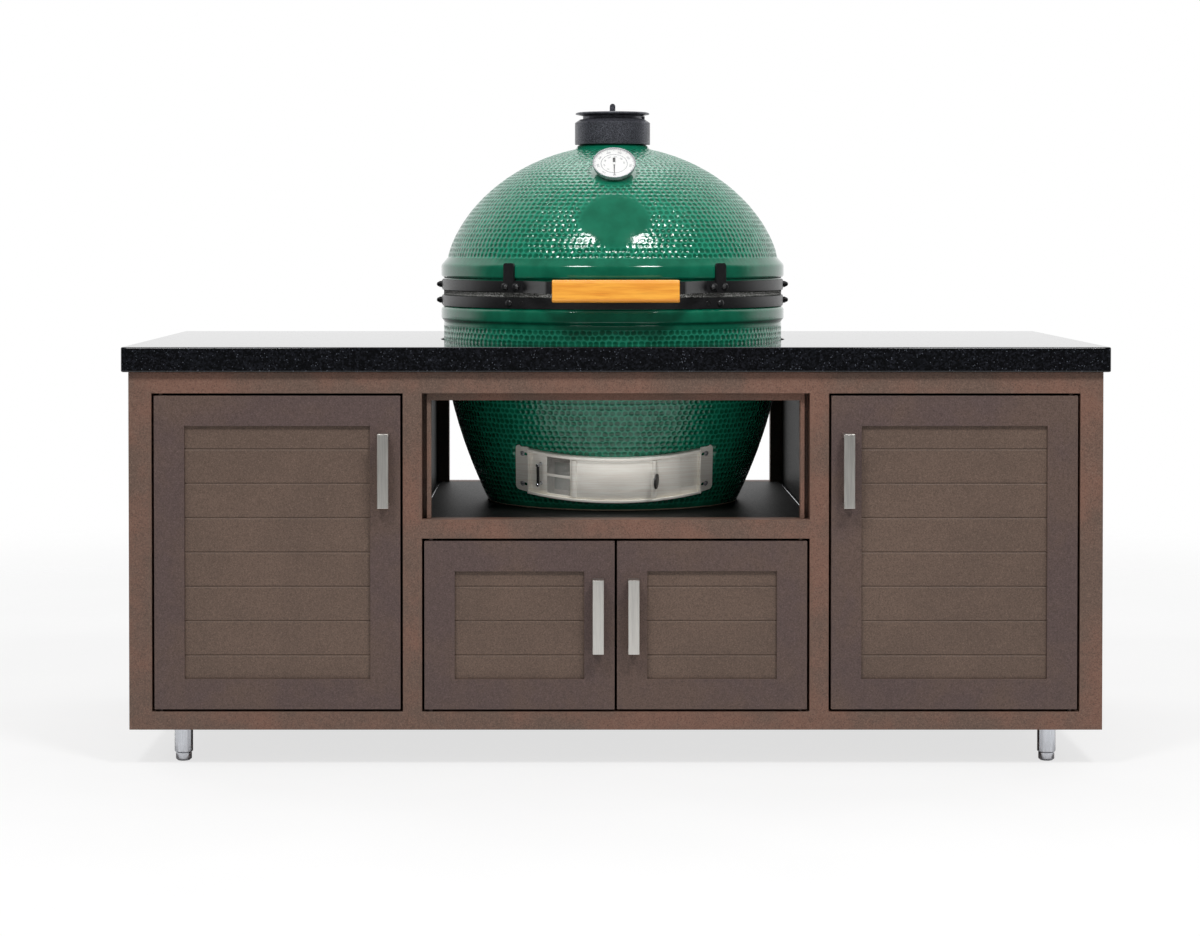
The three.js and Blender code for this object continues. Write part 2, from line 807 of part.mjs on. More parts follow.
// Cooker dome: ceramic, with a rim, a chimney and a hole for the thermometer probe
function domeOuter() {
  const crown = bezier([
    [dome_foot_radius, dome_foot_height], [dome_flank_radius, dome_flank_height],
    [dome_shoulder_radius, dome_shoulder_height], [chimney_flare_radius, chimney_flare_height],
  ], 9);
  return [
    [mouth_radius, dome_mouth_height], [mouth_radius, dome_rim_bottom - band_recess_height],
    [rim_radius, dome_rim_bottom], [rim_radius, dome_rim_top], ...crown,
    [chimney_radius, cap_collar_bottom - band_recess_height], [chimney_top_radius, cap_collar_bottom - seat_gap],
    [chimney_top_radius, chimney_top],
  ];
}

function domeInner() {
  const wall = ceramic_wall;
  return bezier([
    [chimney_bore_radius, chimney_flare_height - wall], [dome_shoulder_radius - wall, dome_shoulder_height - wall],
    [dome_flank_radius - wall, dome_flank_height], [mouth_inner_radius, dome_rim_top],
  ], 5);
}

// Carries a piece made about Z to the thermometer's place, facing out of the dome
function atDial(geometry) {
  const lean = THREE.MathUtils.degToRad(90 - dial_tilt);
  return geometry.rotateX(lean).translate(0, -dial_centre_front, dial_centre_height);
}

function domeShell() {
  const profile = [
    [mouth_inner_radius, dome_mouth_height], ...domeOuter(), [chimney_bore_radius, chimney_top],
    ...domeInner(), [mouth_inner_radius, dome_mouth_height],
  ];
  const shell = turned(profile, large_round_sides);
  const probe_hole = disc(probe_radius + running_gap, -3 * ceramic_wall, 0, fastener_sides);
  return cut(shell, atDial(probe_hole));
}
add('dome_shell', domeShell(), green_glaze);

// Felt gaskets on the two mouths
function gasket(bottom) {
  return ring(mouth_inner_radius, gasket_outer_radius, bottom, bottom + gasket_thickness, large_round_sides);
}
add('base_gasket', gasket(base_mouth_height + seat_gap), grey_felt);
add('dome_gasket', gasket(dome_gasket_bottom), grey_felt);

// A place on a circle in plan; the angle is measured from the front, positive to the right
function onCircle(radius, angle) {
  const a = THREE.MathUtils.degToRad(angle);
  return [radius * Math.sin(a), -radius * Math.cos(a)];
}

function arc(radius, from, to, steps) {
  const points = [];
  for (let i = 0; i <= steps; i += 1) {
    points.push(onCircle(radius, from + ((to - from) * i) / steps));
  }
  return points;
}

function arcBand(inner, outer, from, to, steps) {
  return shapeOf([...arc(inner, from, to, steps).reverse(), ...arc(outer, from, to, steps)]);
}

// Carries a piece that points along +Z out of a round wall: it then points away from the axis
function onWall(geometry, radius, angle, height) {
  const [x, y] = onCircle(radius, angle);
  const turn = THREE.MathUtils.degToRad(angle);
  return geometry.rotateX(Math.PI / 2).rotateZ(turn).translate(x, y, height);
}

function boltHead() {
  const r = bolt_head_radius;
  const h = bolt_head_height;
  return turned([[0, -h], [r, -h], [r, h / 4], [r / 2, h], [0, h]], fastener_sides);
}

function acornNut() {
  const r = band_nut_radius;
  const l = band_nut_length;
  return turned([[0, -band_thickness / 2], [r, -band_thickness / 2], [r, l / 2], [r / 3, l], [0, l]], fastener_sides);
}

// Steel bands round the two mouths, each with a nut at both sides
const band_inner = mouth_radius + seat_gap;
const band_outer = band_inner + band_thickness;
const lower_band_bottom = base_mouth_height - band_height;
const lower_band_middle = base_mouth_height - band_height / 2;

function band(bottom) {
  const nuts = [-90, 90].map((angle) => onWall(acornNut(), band_outer, angle, bottom + band_height / 2));
  return join(ring(band_inner, band_outer, bottom, bottom + band_height, large_round_sides), ...nuts);
}

function lowerBand() {
  const heads = [-1, 1].map((side) => {
    const head = boltHead().translate(0, 0, bolt_head_height - band_thickness / 2);
    return onWall(head, band_outer, side * band_bolt_angle, lower_band_middle);
  });
  const holes = [-1, 1].map((side) => {
    const drill = disc(band_hole_radius, -overrun, overrun, fastener_sides);
    return onWall(drill, band_outer, side * band_hole_angle, lower_band_middle);
  });
  return cut(join(band(lower_band_bottom), ...heads), ...holes);
}
add('lower_band', lowerBand(), black_band);
add('upper_band', band(dome_mouth_height), black_band);

// Hinge: curved plates on the bands at the back, ears round one pin
const hinge_plate_inner = band_outer + seat_gap;
const hinge_plate_outer = hinge_plate_inner + hinge_plate_thickness;

function hingePlate(half_span, bottom) {
  const spread = THREE.MathUtils.radToDeg(Math.asin(half_span / hinge_plate_inner));
  const back = straight_angle;
  const shape = arcBand(hinge_plate_inner, hinge_plate_outer, back - spread, back + spread, small_round_sides);
  return lying(shape, bottom, bottom + band_height);
}

function hingeEar(inner_x, foot_low, foot_high) {
  const outer_x = inner_x + hinge_ear_thickness;
  const foot_y = Math.sqrt(hinge_plate_inner ** 2 - outer_x ** 2) + hinge_plate_thickness / 3;
  const shape = new THREE.Shape();
  shape.moveTo(foot_y, foot_low);
  shape.lineTo(hinge_pin_back, hinge_pin_height - hinge_ear_radius);
  shape.absarc(hinge_pin_back, hinge_pin_height, hinge_ear_radius, -Math.PI / 2, Math.PI / 2);
  shape.lineTo(foot_y + hinge_plate_thickness, foot_high);
  shape.lineTo(foot_y, foot_high);
  return new THREE.ExtrudeGeometry(shape, { depth: hinge_ear_thickness, bevelEnabled: false, curveSegments: 6 })
    .rotateY(Math.PI / 2).rotateX(Math.PI / 2).translate(inner_x, 0, 0);
}

function mirroredX(geometry) {
  return geometryOf(solidOf(geometry).mirror([1, 0, 0]));
}

function lowerHinge() {
  const inner_x = hinge_half_width - hinge_ear_thickness;
  const ear = hingeEar(inner_x, lower_band_bottom, base_mouth_height);
  const pin = barAlongX(hinge_pin_radius, -hinge_half_width, hinge_half_width, hinge_pin_back, hinge_pin_height,
    small_round_sides);
  return join(hingePlate(hinge_half_width, lower_band_bottom), ear, mirroredX(ear), pin);
}
add('lower_hinge_bracket', lowerHinge(), black_band);

function upperHinge() {
  const inner_x = hinge_inner_ear_offset - hinge_ear_thickness;
  const ear = hingeEar(inner_x, dome_mouth_height, dome_mouth_height + band_height);
  const bore = barAlongX(hinge_bore_radius, -hinge_half_width, hinge_half_width, hinge_pin_back,
    hinge_pin_height, small_round_sides);
  return cut(join(hingePlate(hinge_inner_ear_offset, dome_mouth_height), ear, mirroredX(ear)), bore);
}
add('upper_hinge_bracket', upperHinge(), black_band);

// Lid springs: a wire wound round the hinge pin, one leg against each bracket
function legReach(x) {
  const nearest = Math.abs(x) - spring_wire_radius;
  return hinge_pin_back - Math.sqrt(hinge_plate_outer ** 2 - nearest ** 2) - seat_gap;
}

function springPath(centre) {
  const points = [];
  const steps = spring_curls * spring_curl_steps;
  const half_length = (spring_curls * spring_pitch) / 2;
  const lower_reach = legReach(centre - half_length);
  points.push([-half_length, -lower_reach, -spring_coil_radius]);
  points.push([-half_length, -lower_reach / 2, -spring_coil_radius]);
  for (let i = 0; i <= steps + spring_curl_steps / 2; i += 1) {
    const turn = (2 * Math.PI * i) / spring_curl_steps - Math.PI / 2;
    const along = -half_length + (spring_pitch * i) / spring_curl_steps;
    points.push([along, spring_coil_radius * Math.cos(turn), spring_coil_radius * Math.sin(turn)]);
  }
  const end = half_length + spring_pitch / 2;
  const upper_reach = legReach(centre + end) - spring_upper_clearance;
  points.push([end, -upper_reach / 2, spring_coil_radius]);
  points.push([end, -upper_reach, spring_coil_radius]);
  return points.map(([x, y, z]) => new THREE.Vector3(x, y, z));
}

// A closed tube whose rings stand square to the path at each of its points
function wire(points, radius, sides) {
  const positions = [];
  const indices = [];
  const across = new THREE.Vector3(1, 0, 0);
  points.forEach((point, i) => {
    const before = points[Math.max(i - 1, 0)];
    const after = points[Math.min(i + 1, points.length - 1)];
    const ahead = after.clone().sub(before).normalize();
    const u = across.clone().addScaledVector(ahead, -across.dot(ahead)).normalize();
    const v = ahead.clone().cross(u);
    for (let k = 0; k < sides; k += 1) {
      const a = (2 * Math.PI * k) / sides;
      const corner = point.clone().addScaledVector(u, radius * Math.cos(a)).addScaledVector(v, radius * Math.sin(a));
      positions.push(corner.x, corner.y, corner.z);
    }
  });
  for (let i = 0; i + 1 < points.length; i += 1) {
    for (let k = 0; k < sides; k += 1) {
      const a = i * sides + k;
      const b = i * sides + ((k + 1) % sides);
      indices.push(a, b, b + sides, a, b + sides, a + sides);
    }
  }
  const last = (points.length - 1) * sides;
  for (let k = 1; k + 1 < sides; k += 1) {
    indices.push(0, k + 1, k, last, last + k, last + k + 1);
  }
  const geometry = new THREE.BufferGeometry();
  geometry.setAttribute('position', new THREE.Float32BufferAttribute(positions, 3));
  geometry.setIndex(indices);
  return geometry;
}

function leastGap(points, radius) {
  let least = Infinity;
  for (let i = 0; i < points.length; i += 1) {
    for (let j = i + spring_curl_steps - 1; j < points.length; j += 1) {
      least = Math.min(least, points[i].distanceTo(points[j]) - 2 * radius);
    }
  }
  return least;
}
for (const [name, side] of [['left', -1], ['right', 1]]) {
  const centre = side * spring_centre_offset;
  const points = springPath(centre);
  console.log(`least gap between ${name} spring curls: ${leastGap(points, spring_wire_radius).toFixed(2)} mm`);
  const spring = wire(points, spring_wire_radius, spring_wire_sides);
  add(`${name}_hinge_spring`, spring, bright_steel).position.set(centre, hinge_pin_back, hinge_pin_height);
}

// Handle: a wooden grip between two black arms that are bolted to the upper band
function ribbon(points, thickness) {
  const path = points.map(([x, y]) => new THREE.Vector2(x, y));
  const left = [];
  const right = [];
  path.forEach((point, i) => {
    const before = path[Math.max(i - 1, 0)];
    const after = path[Math.min(i + 1, path.length - 1)];
    const side = after.clone().sub(before).normalize().rotateAround(new THREE.Vector2(), Math.PI / 2);
    left.push(point.clone().addScaledVector(side, thickness / 2));
    right.push(point.clone().addScaledVector(side, -thickness / 2));
  });
  return new THREE.Shape([...left, ...right.reverse()]);
}

function rightArm() {
  const radius = band_outer + seat_gap + arm_thickness / 2;
  const end_inner = grip_width / 2 + seat_gap;
  const end_outer = end_inner + arm_end_thickness;
  const back = grip_front - grip_depth + arm_end_setback;
  const path = [
    ...arc(radius, arm_outer_angle, arm_leave_angle, 4),
    [end_outer + arm_thickness / 2, -back - arm_thickness],
    [end_outer - arm_thickness / 2, -back - 2 * arm_thickness],
  ];
  const low = arm_centre_height - arm_height / 2;
  const bar = lying(ribbon(path, arm_thickness), low, low + arm_height);
  const block = slab(end_inner, end_outer, arm_end_setback - grip_front, -back, low, low + arm_height);
  const hook_height = arm_hook_top - low;
  const hook_plate = prism(roundedRectangle(arm_hook_width, hook_height, hook_corner), arm_thickness);
  const hook_radius = rim_radius + seat_gap;
  const hook = onWall(hook_plate, hook_radius, arm_hook_angle, low + hook_height / 2);
  const heads = arm_bolt_angles.map((angle) => {
    const head = boltHead().translate(0, 0, bolt_head_height / 2);
    return onWall(head, hook_radius + arm_thickness, angle, arm_centre_height);
  });
  return join(bar, block, hook, ...heads);
}
add('right_handle_arm', rightArm(), black_band);
add('left_handle_arm', mirroredX(rightArm()), black_band);

function handleGrip() {
  const section = roundedRectangle(grip_depth, grip_height, grip_corner);
  const grip = new THREE.ExtrudeGeometry(section, { depth: grip_width, bevelEnabled: false, curveSegments: 4 });
  const y = grip_depth / 2 - grip_front;
  return grip.rotateY(Math.PI / 2).rotateX(Math.PI / 2).translate(-grip_width / 2, y, grip_bottom + grip_height / 2);
}
add('handle_grip', handleGrip(), varnished_wood);

// Thermometer: a bezel with a dial and a probe, a needle over the dial and a lens in front
function thermometerBody() {
  const rim = dial_radius - bezel_wall;
  const boss_end = bezel_depth + probe_boss_length;
  return turned([
    [0, -boss_end - probe_length], [probe_radius, -boss_end - probe_length], [probe_radius, -boss_end],
    [probe_boss_radius, -boss_end], [probe_boss_radius, -bezel_depth], [dial_radius, -bezel_depth],
    [dial_radius, 0], [rim, 0], [rim, -dial_recess], [0, -dial_recess],
  ], middle_round_sides);
}
add('thermometer_body', atDial(thermometerBody()), stainless);

function needle() {
  const half = needle_width / 2;
  const tip = half / 2;
  const outline = [
    [-tip, -needle_length], [tip, -needle_length], [half, 0], [needle_width, needle_tail / 3],
    [needle_width, needle_tail], [-needle_width, needle_tail], [-needle_width, needle_tail / 3], [-half, 0],
  ];
  const low = seat_gap - dial_recess;
  const hand = lying(shapeOf(outline), low, low + needle_thickness);
  return join(hand, disc(needle_hub_radius, low, low + 2 * needle_thickness, fastener_sides));
}
add('thermometer_needle', atDial(needle()), black_paint);
const lens_radius = dial_radius - bezel_wall - seat_gap;
const lens = disc(lens_radius, -seat_gap - lens_thickness, -seat_gap, middle_round_sides);
add('thermometer_lens', atDial(lens), clear_glass);

// Chimney cap: a collar on the chimney, a ported lid that swings aside, a damper that turns on it
const cap_seat = chimney_top_radius + seat_gap;
const lid_bottom = cap_chamfer_top + seat_gap;
const lid_top = lid_bottom + lid_plate_thickness;
const damper_bottom = lid_top + seat_gap;
const damper_top = damper_bottom + damper_thickness;

function capCollar() {
  const web = cap_chamfer_top - cap_web_thickness;
  const collar = turned([
    [cap_seat, cap_collar_bottom], [cap_collar_radius, cap_collar_bottom], [cap_collar_radius, cap_collar_top],
    [cap_chamfer_radius, cap_chamfer_top], [cap_mouth_radius, cap_chamfer_top], [cap_mouth_radius, web],
    [cap_seat - cap_wall, web - cap_wall], [cap_seat, chimney_top + seat_gap], [cap_seat, cap_collar_bottom],
  ], large_round_sides);
  const socket = disc(lid_pivot_radius + running_gap, web - overrun, cap_chamfer_top + overrun, fastener_sides);
  return cut(collar, socket.translate(lid_pivot_offset, 0, 0));
}
add('cap_collar', capCollar(), cast_iron);

function ports(bottom, top, first_angle) {
  const tools = [];
  for (let i = 0; i < cap_port_count; i += 1) {
    const [x, y] = onCircle(cap_port_ring_radius, first_angle + (360 * i) / cap_port_count);
    tools.push(disc(cap_port_radius, bottom - overrun, top + overrun, fastener_sides).translate(x, y, 0));
  }
  return tools;
}

function capLid() {
  const plate = disc(lid_plate_radius, lid_bottom, lid_top, middle_round_sides);
  const lug = disc(lid_lug_radius, lid_bottom, lid_top, fastener_sides).translate(lid_pivot_offset, 0, 0);
  const pin_low = cap_chamfer_top - cap_web_thickness;
  const pin = disc(lid_pivot_radius, pin_low, lid_top - seat_gap, fastener_sides).translate(lid_pivot_offset, 0, 0);
  const hub_hole = disc(lid_hub_radius + running_gap, lid_bottom - overrun, lid_top + overrun, middle_round_sides);
  return cut(join(plate, lug, pin), hub_hole, ...ports(lid_bottom, lid_top, 0));
}
add('cap_lid', capLid(), cast_iron);

function capDamper() {
  const plate = turned([
    [0, damper_bottom - lid_plate_thickness], [lid_hub_radius, damper_bottom - lid_plate_thickness],
    [lid_hub_radius, damper_bottom], [lid_plate_radius, damper_bottom],
    [damper_radius, damper_bottom + damper_edge], [damper_radius, damper_top - damper_edge / 2],
    [damper_flat_radius, damper_top], [0, damper_top],
  ], middle_round_sides);
  const half = cap_tab_width / 2;
  const tab_shape = new THREE.Shape();
  tab_shape.moveTo(-half, damper_top - damper_edge);
  tab_shape.lineTo(half, damper_top - damper_edge);
  tab_shape.absarc(0, cap_top - half, half, 0, Math.PI);
  const tab = new THREE.ExtrudeGeometry(tab_shape, { depth: cap_tab_length, bevelEnabled: false, curveSegments: 6 });
  tab.rotateX(Math.PI / 2).translate(0, cap_tab_length / 2, 0);
  return cut(join(plate, tab), ...ports(damper_bottom, damper_top, straight_angle / cap_port_count));
}
add('cap_damper', capDamper(), cast_iron);

// Draft door: built round a level circle, then leaned and set against the base
function atDraft(geometry) {
  const back = draft_radius * (Math.cos(draft_lean) - 1);
  return geometry.rotateX(draft_lean).translate(0, back, draft_centre_height + draft_radius * Math.sin(draft_lean));
}

// Concentric sheets share one set of flats, so that they stay parallel
function flatPoint(radius, angle) {
  const middle = (Math.floor(angle / draft_flat) + 1 / 2) * draft_flat;
  const inside = Math.cos(THREE.MathUtils.degToRad(draft_flat / 2));
  return onCircle((radius * inside) / Math.cos(THREE.MathUtils.degToRad(angle - middle)), angle);
}

function flats(radius, from, to) {
  const angles = [from];
  for (let i = Math.floor(from / draft_flat) + 1; i * draft_flat < to; i += 1) {
    angles.push(i * draft_flat);
  }
  return [...angles, to].map((angle) => flatPoint(radius, angle));
}

function curvedPlate(inner, outer, from, to, low, high) {
  return lying(shapeOf([...flats(inner, from, to).reverse(), ...flats(outer, from, to)]), low, high);
}

function draftFrame() {
  const half = draft_height / 2;
  const edge = draft_edge_angle;
  const face = draft_radius + draft_sheet;
  const lip = draft_radius + draft_lip_depth;
  const plate = curvedPlate(draft_radius, face, -edge, edge, -half, half);
  const low_window = draft_hole_height / 2;
  const window = curvedPlate(draft_radius - overrun, face + overrun, -draft_window_angle, draft_window_angle,
    -low_window, low_window);
  const channels = [];
  for (const side of [-1, 1]) {
    const web = [side * half, side * (half - draft_sheet)].sort((a, b) => a - b);
    const rim = [side * half, side * (half - draft_lip_height)].sort((a, b) => a - b);
    channels.push(curvedPlate(draft_radius, lip, -draft_half_angle, draft_half_angle, ...web));
    channels.push(curvedPlate(lip - draft_sheet, lip, -draft_half_angle, draft_half_angle, ...rim));
    const stop = side * (draft_half_angle - draft_sheet / 2);
    const ends = [stop - draft_sheet / 4, stop + draft_sheet / 4];
    channels.push(curvedPlate(draft_radius, lip, ...ends, -half, half));
  }
  const screws = [];
  for (const side of [-1, 1]) {
    for (const end of [-1, 1]) {
      const r = draft_screw_radius;
      const h = draft_screw_height;
      const head = turned([[0, -draft_sheet / 2], [r, -draft_sheet / 2], [r, h / 2], [r / 2, h], [0, h]],
        fastener_sides);
      const angle = side * (draft_half_angle + draft_flange_angle / 2);
      screws.push(onWall(head, face, angle, end * (half - 3 * draft_screw_radius)));
    }
  }
  return join(cut(plate, window), ...channels, ...screws);
}
add('draft_frame', atDraft(draftFrame()), stainless);

const screen_inner = draft_radius + draft_sheet + draft_slide_gap;
const screen_outer = screen_inner + draft_sheet;
const slider_half = draft_height / 2 - draft_sheet - seat_gap;

function draftScreen() {
  const sheet = curvedPlate(screen_inner, screen_outer, screen_left_angle, screen_right_angle,
    -slider_half, slider_half);
  const holes = [];
  const degrees = (mesh_right_angle - mesh_left_angle) / mesh_columns;
  const wire_degrees = THREE.MathUtils.radToDeg(mesh_wire / screen_outer);
  const row = mesh_height / mesh_rows;
  for (const side of [-1, 1]) {
    const bottom = side < 0 ? -mesh_divider / 2 - mesh_height : mesh_divider / 2;
    for (let i = 0; i < mesh_columns; i += 1) {
      for (let j = 0; j < mesh_rows; j += 1) {
        const from = mesh_left_angle + i * degrees;
        const low = bottom + j * row;
        holes.push(curvedPlate(screen_inner - overrun, screen_outer + overrun, from,
          from + degrees - wire_degrees, low, low + row - mesh_wire));
      }
    }
  }
  const studs = [-1, 1].map((end) => {
    const stud = disc(draft_grip_radius, -draft_sheet / 2, draft_stud_length, fastener_sides);
    return onWall(stud, screen_outer, screen_grip_angle, (end * screen_grip_height) / 2);
  });
  const reach = screen_grip_height / 2 + draft_grip_radius;
  const [x, y] = onCircle(screen_outer + draft_stud_length - draft_grip_radius, screen_grip_angle);
  const bar = disc(draft_grip_radius, -reach, reach, fastener_sides).translate(x, y, 0);
  return join(cut(sheet, ...holes), ...studs, bar);
}
add('draft_screen', atDraft(draftScreen()), stainless);

const slide_inner = screen_outer + draft_slide_gap;
const slide_outer = slide_inner + draft_sheet;

function draftDoor() {
  const sheet = curvedPlate(slide_inner, slide_outer, draft_door_left_angle, draft_door_right_angle,
    -slider_half, slider_half);
  const bead_reach = slider_half - draft_lip_height;
  const beads = [draft_door_left_angle + 1, draft_door_right_angle - 1].map((angle) => {
    const [x, y] = onCircle(slide_outer, angle);
    const bead = disc(draft_bead_radius, -bead_reach, bead_reach, fastener_sides).translate(x, y, 0);
    return cut(bead, curvedPlate(slide_inner - 2 * overrun, slide_inner, angle - 2, angle + 2, -draft_height,
      draft_height));
  });
  const stud = disc(draft_grip_radius, -draft_sheet / 2, draft_stud_length, fastener_sides);
  const neck = onWall(stud, slide_outer, draft_knob_angle, 0);
  const knob = disc(draft_knob_radius, -draft_knob_thickness / 2, draft_knob_thickness / 2, small_round_sides);
  const [x, y] = onCircle(slide_outer + draft_stud_length, draft_knob_angle);
  knob.rotateX(Math.PI / 2).rotateZ(THREE.MathUtils.degToRad(draft_knob_angle + draft_knob_turn)).translate(x, y, 0);
  return join(sheet, ...beads, neck, knob);
}
add('draft_door', atDraft(draftDoor()), stainless);

// Inside the cooker: fire box, ring, grate and cooking grid
const base_floor = niche_floor + ceramic_wall + seat_gap;

function fireBox() {
  const wall = fire_box_wall;
  const slope = (fire_box_top_radius - fire_box_foot_radius) / (fire_box_top - base_floor);
  const floor_outer = fire_box_foot_radius + slope * (fire_box_floor - base_floor);
  const box = turned([
    [fire_box_foot_radius - wall, base_floor], [fire_box_foot_radius, base_floor],
    [fire_box_top_radius, fire_box_top], [fire_box_top_radius - wall, fire_box_top],
    [floor_outer - wall, fire_box_floor], [fire_box_hole_radius, fire_box_floor],
    [fire_box_hole_radius, fire_box_floor - wall], [fire_box_foot_radius - wall, fire_box_floor - wall],
    [fire_box_foot_radius - wall, base_floor],
  ], middle_round_sides);
  const a = draft_hole_width / 2;
  const notch_top = fire_box_floor - wall;
  return cut(box, slab(-a, a, -fire_box_top_radius, 0, base_floor - overrun, notch_top));
}
add('fire_box', fireBox(), fired_clay);

const ring_bottom = fire_box_top + seat_gap;
add('fire_ring', ring(fire_ring_radius - fire_ring_wall, fire_ring_radius, ring_bottom, fire_ring_top,
  middle_round_sides), fired_clay);

function fireGrate() {
  const bottom = fire_box_floor + seat_gap;
  const top = bottom + fire_grate_thickness;
  const holes = [disc(grate_hole_radius, bottom - overrun, top + overrun, hole_sides)];
  for (const share of [grate_ring_share / 2, grate_ring_share]) {
    const count = Math.round((grate_hole_count * share) / grate_ring_share);
    for (let i = 0; i < count; i += 1) {
      const [x, y] = onCircle(fire_grate_radius * share, (360 * i) / count);
      holes.push(disc(grate_hole_radius, bottom - overrun, top + overrun, hole_sides).translate(x, y, 0));
    }
  }
  return cut(disc(fire_grate_radius, bottom, top, middle_round_sides), ...holes);
}
add('fire_grate', fireGrate(), cast_iron);

function cookingGrid() {
  const bar_z = fire_ring_top + seat_gap + grid_bar_radius;
  const rod = grid_rod_radius;
  const centre = grid_radius - rod;
  const hoop_z = fire_ring_top + seat_gap + rod;
  const section = [[centre, hoop_z - rod], [centre + rod, hoop_z], [centre, hoop_z + rod], [centre - rod, hoop_z]];
  const hoop = turned([...section, section[0]], large_round_sides);
  const bars = [];
  const count = Math.floor((centre - grid_bar_pitch / 2) / grid_bar_pitch);
  for (let i = -count; i <= count; i += 1) {
    const x = i * grid_bar_pitch;
    const reach = Math.sqrt(centre ** 2 - x ** 2);
    bars.push(barAlongY(grid_bar_radius, -reach, reach, x, bar_z, rod_sides));
  }
  for (const side of [-1, 1]) {
    const y = side * grid_brace_offset;
    const reach = Math.sqrt(centre ** 2 - y ** 2);
    bars.push(barAlongX(rod, -reach, reach, y, bar_z + grid_bar_radius, rod_sides));
  }
  return join(hoop, ...bars);
}
add('cooking_grid', cookingGrid(), bright_steel);

// Brings the middle of the whole, from the pulls to the back of the countertop, over the origin
table.position.y = (pull_projection - counter_overhang_front) / 2;

export default table;
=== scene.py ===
# %% [markdown]
# # A grill table with a ceramic cooker
# The object is a long powder-coated cabinet with a stone counter. A green ceramic cooker stands in its
# middle bay and comes up through a round hole in the counter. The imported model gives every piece's place
# and size. This script dresses it: it rebuilds the pieces whose roundness or edges matter, gives each one a
# finish, and lights the whole as in a plain studio. The frame is loaded first, because all that follows is
# measured from it.

import json
import math

import bmesh
import bpy
import numpy as np
from mathutils import Matrix, Vector

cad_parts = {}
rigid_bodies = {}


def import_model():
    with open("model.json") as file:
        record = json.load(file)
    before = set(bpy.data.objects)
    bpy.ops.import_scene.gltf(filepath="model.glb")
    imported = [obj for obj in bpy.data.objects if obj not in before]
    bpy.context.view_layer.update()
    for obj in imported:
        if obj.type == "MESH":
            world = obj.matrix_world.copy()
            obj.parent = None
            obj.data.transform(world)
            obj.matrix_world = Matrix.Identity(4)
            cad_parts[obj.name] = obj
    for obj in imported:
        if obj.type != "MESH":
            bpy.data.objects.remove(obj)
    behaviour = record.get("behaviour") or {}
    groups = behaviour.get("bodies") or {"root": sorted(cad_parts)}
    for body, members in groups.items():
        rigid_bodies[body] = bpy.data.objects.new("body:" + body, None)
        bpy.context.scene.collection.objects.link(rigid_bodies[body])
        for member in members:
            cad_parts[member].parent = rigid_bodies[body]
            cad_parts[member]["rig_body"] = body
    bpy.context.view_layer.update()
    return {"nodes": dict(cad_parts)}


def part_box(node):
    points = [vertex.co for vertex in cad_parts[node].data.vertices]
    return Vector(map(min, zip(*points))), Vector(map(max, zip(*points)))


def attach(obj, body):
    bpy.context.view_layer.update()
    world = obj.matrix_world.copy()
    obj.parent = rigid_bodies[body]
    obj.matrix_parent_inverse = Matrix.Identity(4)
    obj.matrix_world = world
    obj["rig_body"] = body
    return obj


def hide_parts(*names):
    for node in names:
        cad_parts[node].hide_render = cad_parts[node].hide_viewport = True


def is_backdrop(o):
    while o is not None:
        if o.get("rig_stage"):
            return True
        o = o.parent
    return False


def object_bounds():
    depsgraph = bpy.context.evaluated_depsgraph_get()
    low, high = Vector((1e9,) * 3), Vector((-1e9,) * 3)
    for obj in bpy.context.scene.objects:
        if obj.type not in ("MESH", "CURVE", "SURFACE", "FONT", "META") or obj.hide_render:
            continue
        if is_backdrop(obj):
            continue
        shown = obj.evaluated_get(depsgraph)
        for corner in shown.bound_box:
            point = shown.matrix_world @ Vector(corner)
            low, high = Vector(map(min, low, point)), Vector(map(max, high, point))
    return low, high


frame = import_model()

# %% [markdown]
# ## Lengths
# A workshop drawing is in millimetres, and Blender is in metres, so one constant turns one into the other.
# The cooker's axis doesn't run through the origin: the door pulls stand further out than the counter does
# behind, and the frame is centred over both. So the axis lies a little behind the middle. The base's box
# tells where.

# %% Lengths that many pieces share
MM = 0.001
TURN = 2 * math.pi
nodes = frame["nodes"]
made = []


def box_of(node):
    """The lowest and the highest corner of a node of the frame, in millimetres."""
    return [np.round(np.array(corner) / MM, 2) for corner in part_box(node)]


def heights_of(node):
    return [corner[2] for corner in box_of(node)]


base_low, base_high = box_of("base_shell")
AXIS_Y = (base_low[1] + base_high[1]) / 2
print("the cooker's axis is", AXIS_Y, "mm behind the origin")

# %% [markdown]
# ## Shader arithmetic
# A finish is mostly sums on masks: noise times a weight, one minus a fleck. Written as nodes one by one,
# such a sum fills a page. A small class wraps a socket, so that the usual signs of arithmetic add the Math
# nodes.

# %% A socket that can be added and multiplied
class Value:
    def __init__(self, finish, socket):
        self.finish = finish
        self.socket = socket

    def sum_with(self, operation, other, swapped=False):
        first, second = (other, self) if swapped else (self, other)
        return self.finish.sum_of(operation, first, second)

    def __add__(self, other):
        return self.sum_with("ADD", other)

    def __sub__(self, other):
        return self.sum_with("SUBTRACT", other)

    def __rsub__(self, other):
        return self.sum_with("SUBTRACT", other, swapped=True)

    def __mul__(self, other):
        return self.sum_with("MULTIPLY", other)

    __radd__ = __add__
    __rmul__ = __mul__


# %% [markdown]
# ## Finishes
# Every finish starts from the same shader and from the same place on the piece: object coordinates, which
# are metres in the frame. So a fleck or a brush mark has its real size on each piece, and no piece needs a
# UV map. One method adds any node: its settings first, then the values or links of its sockets.

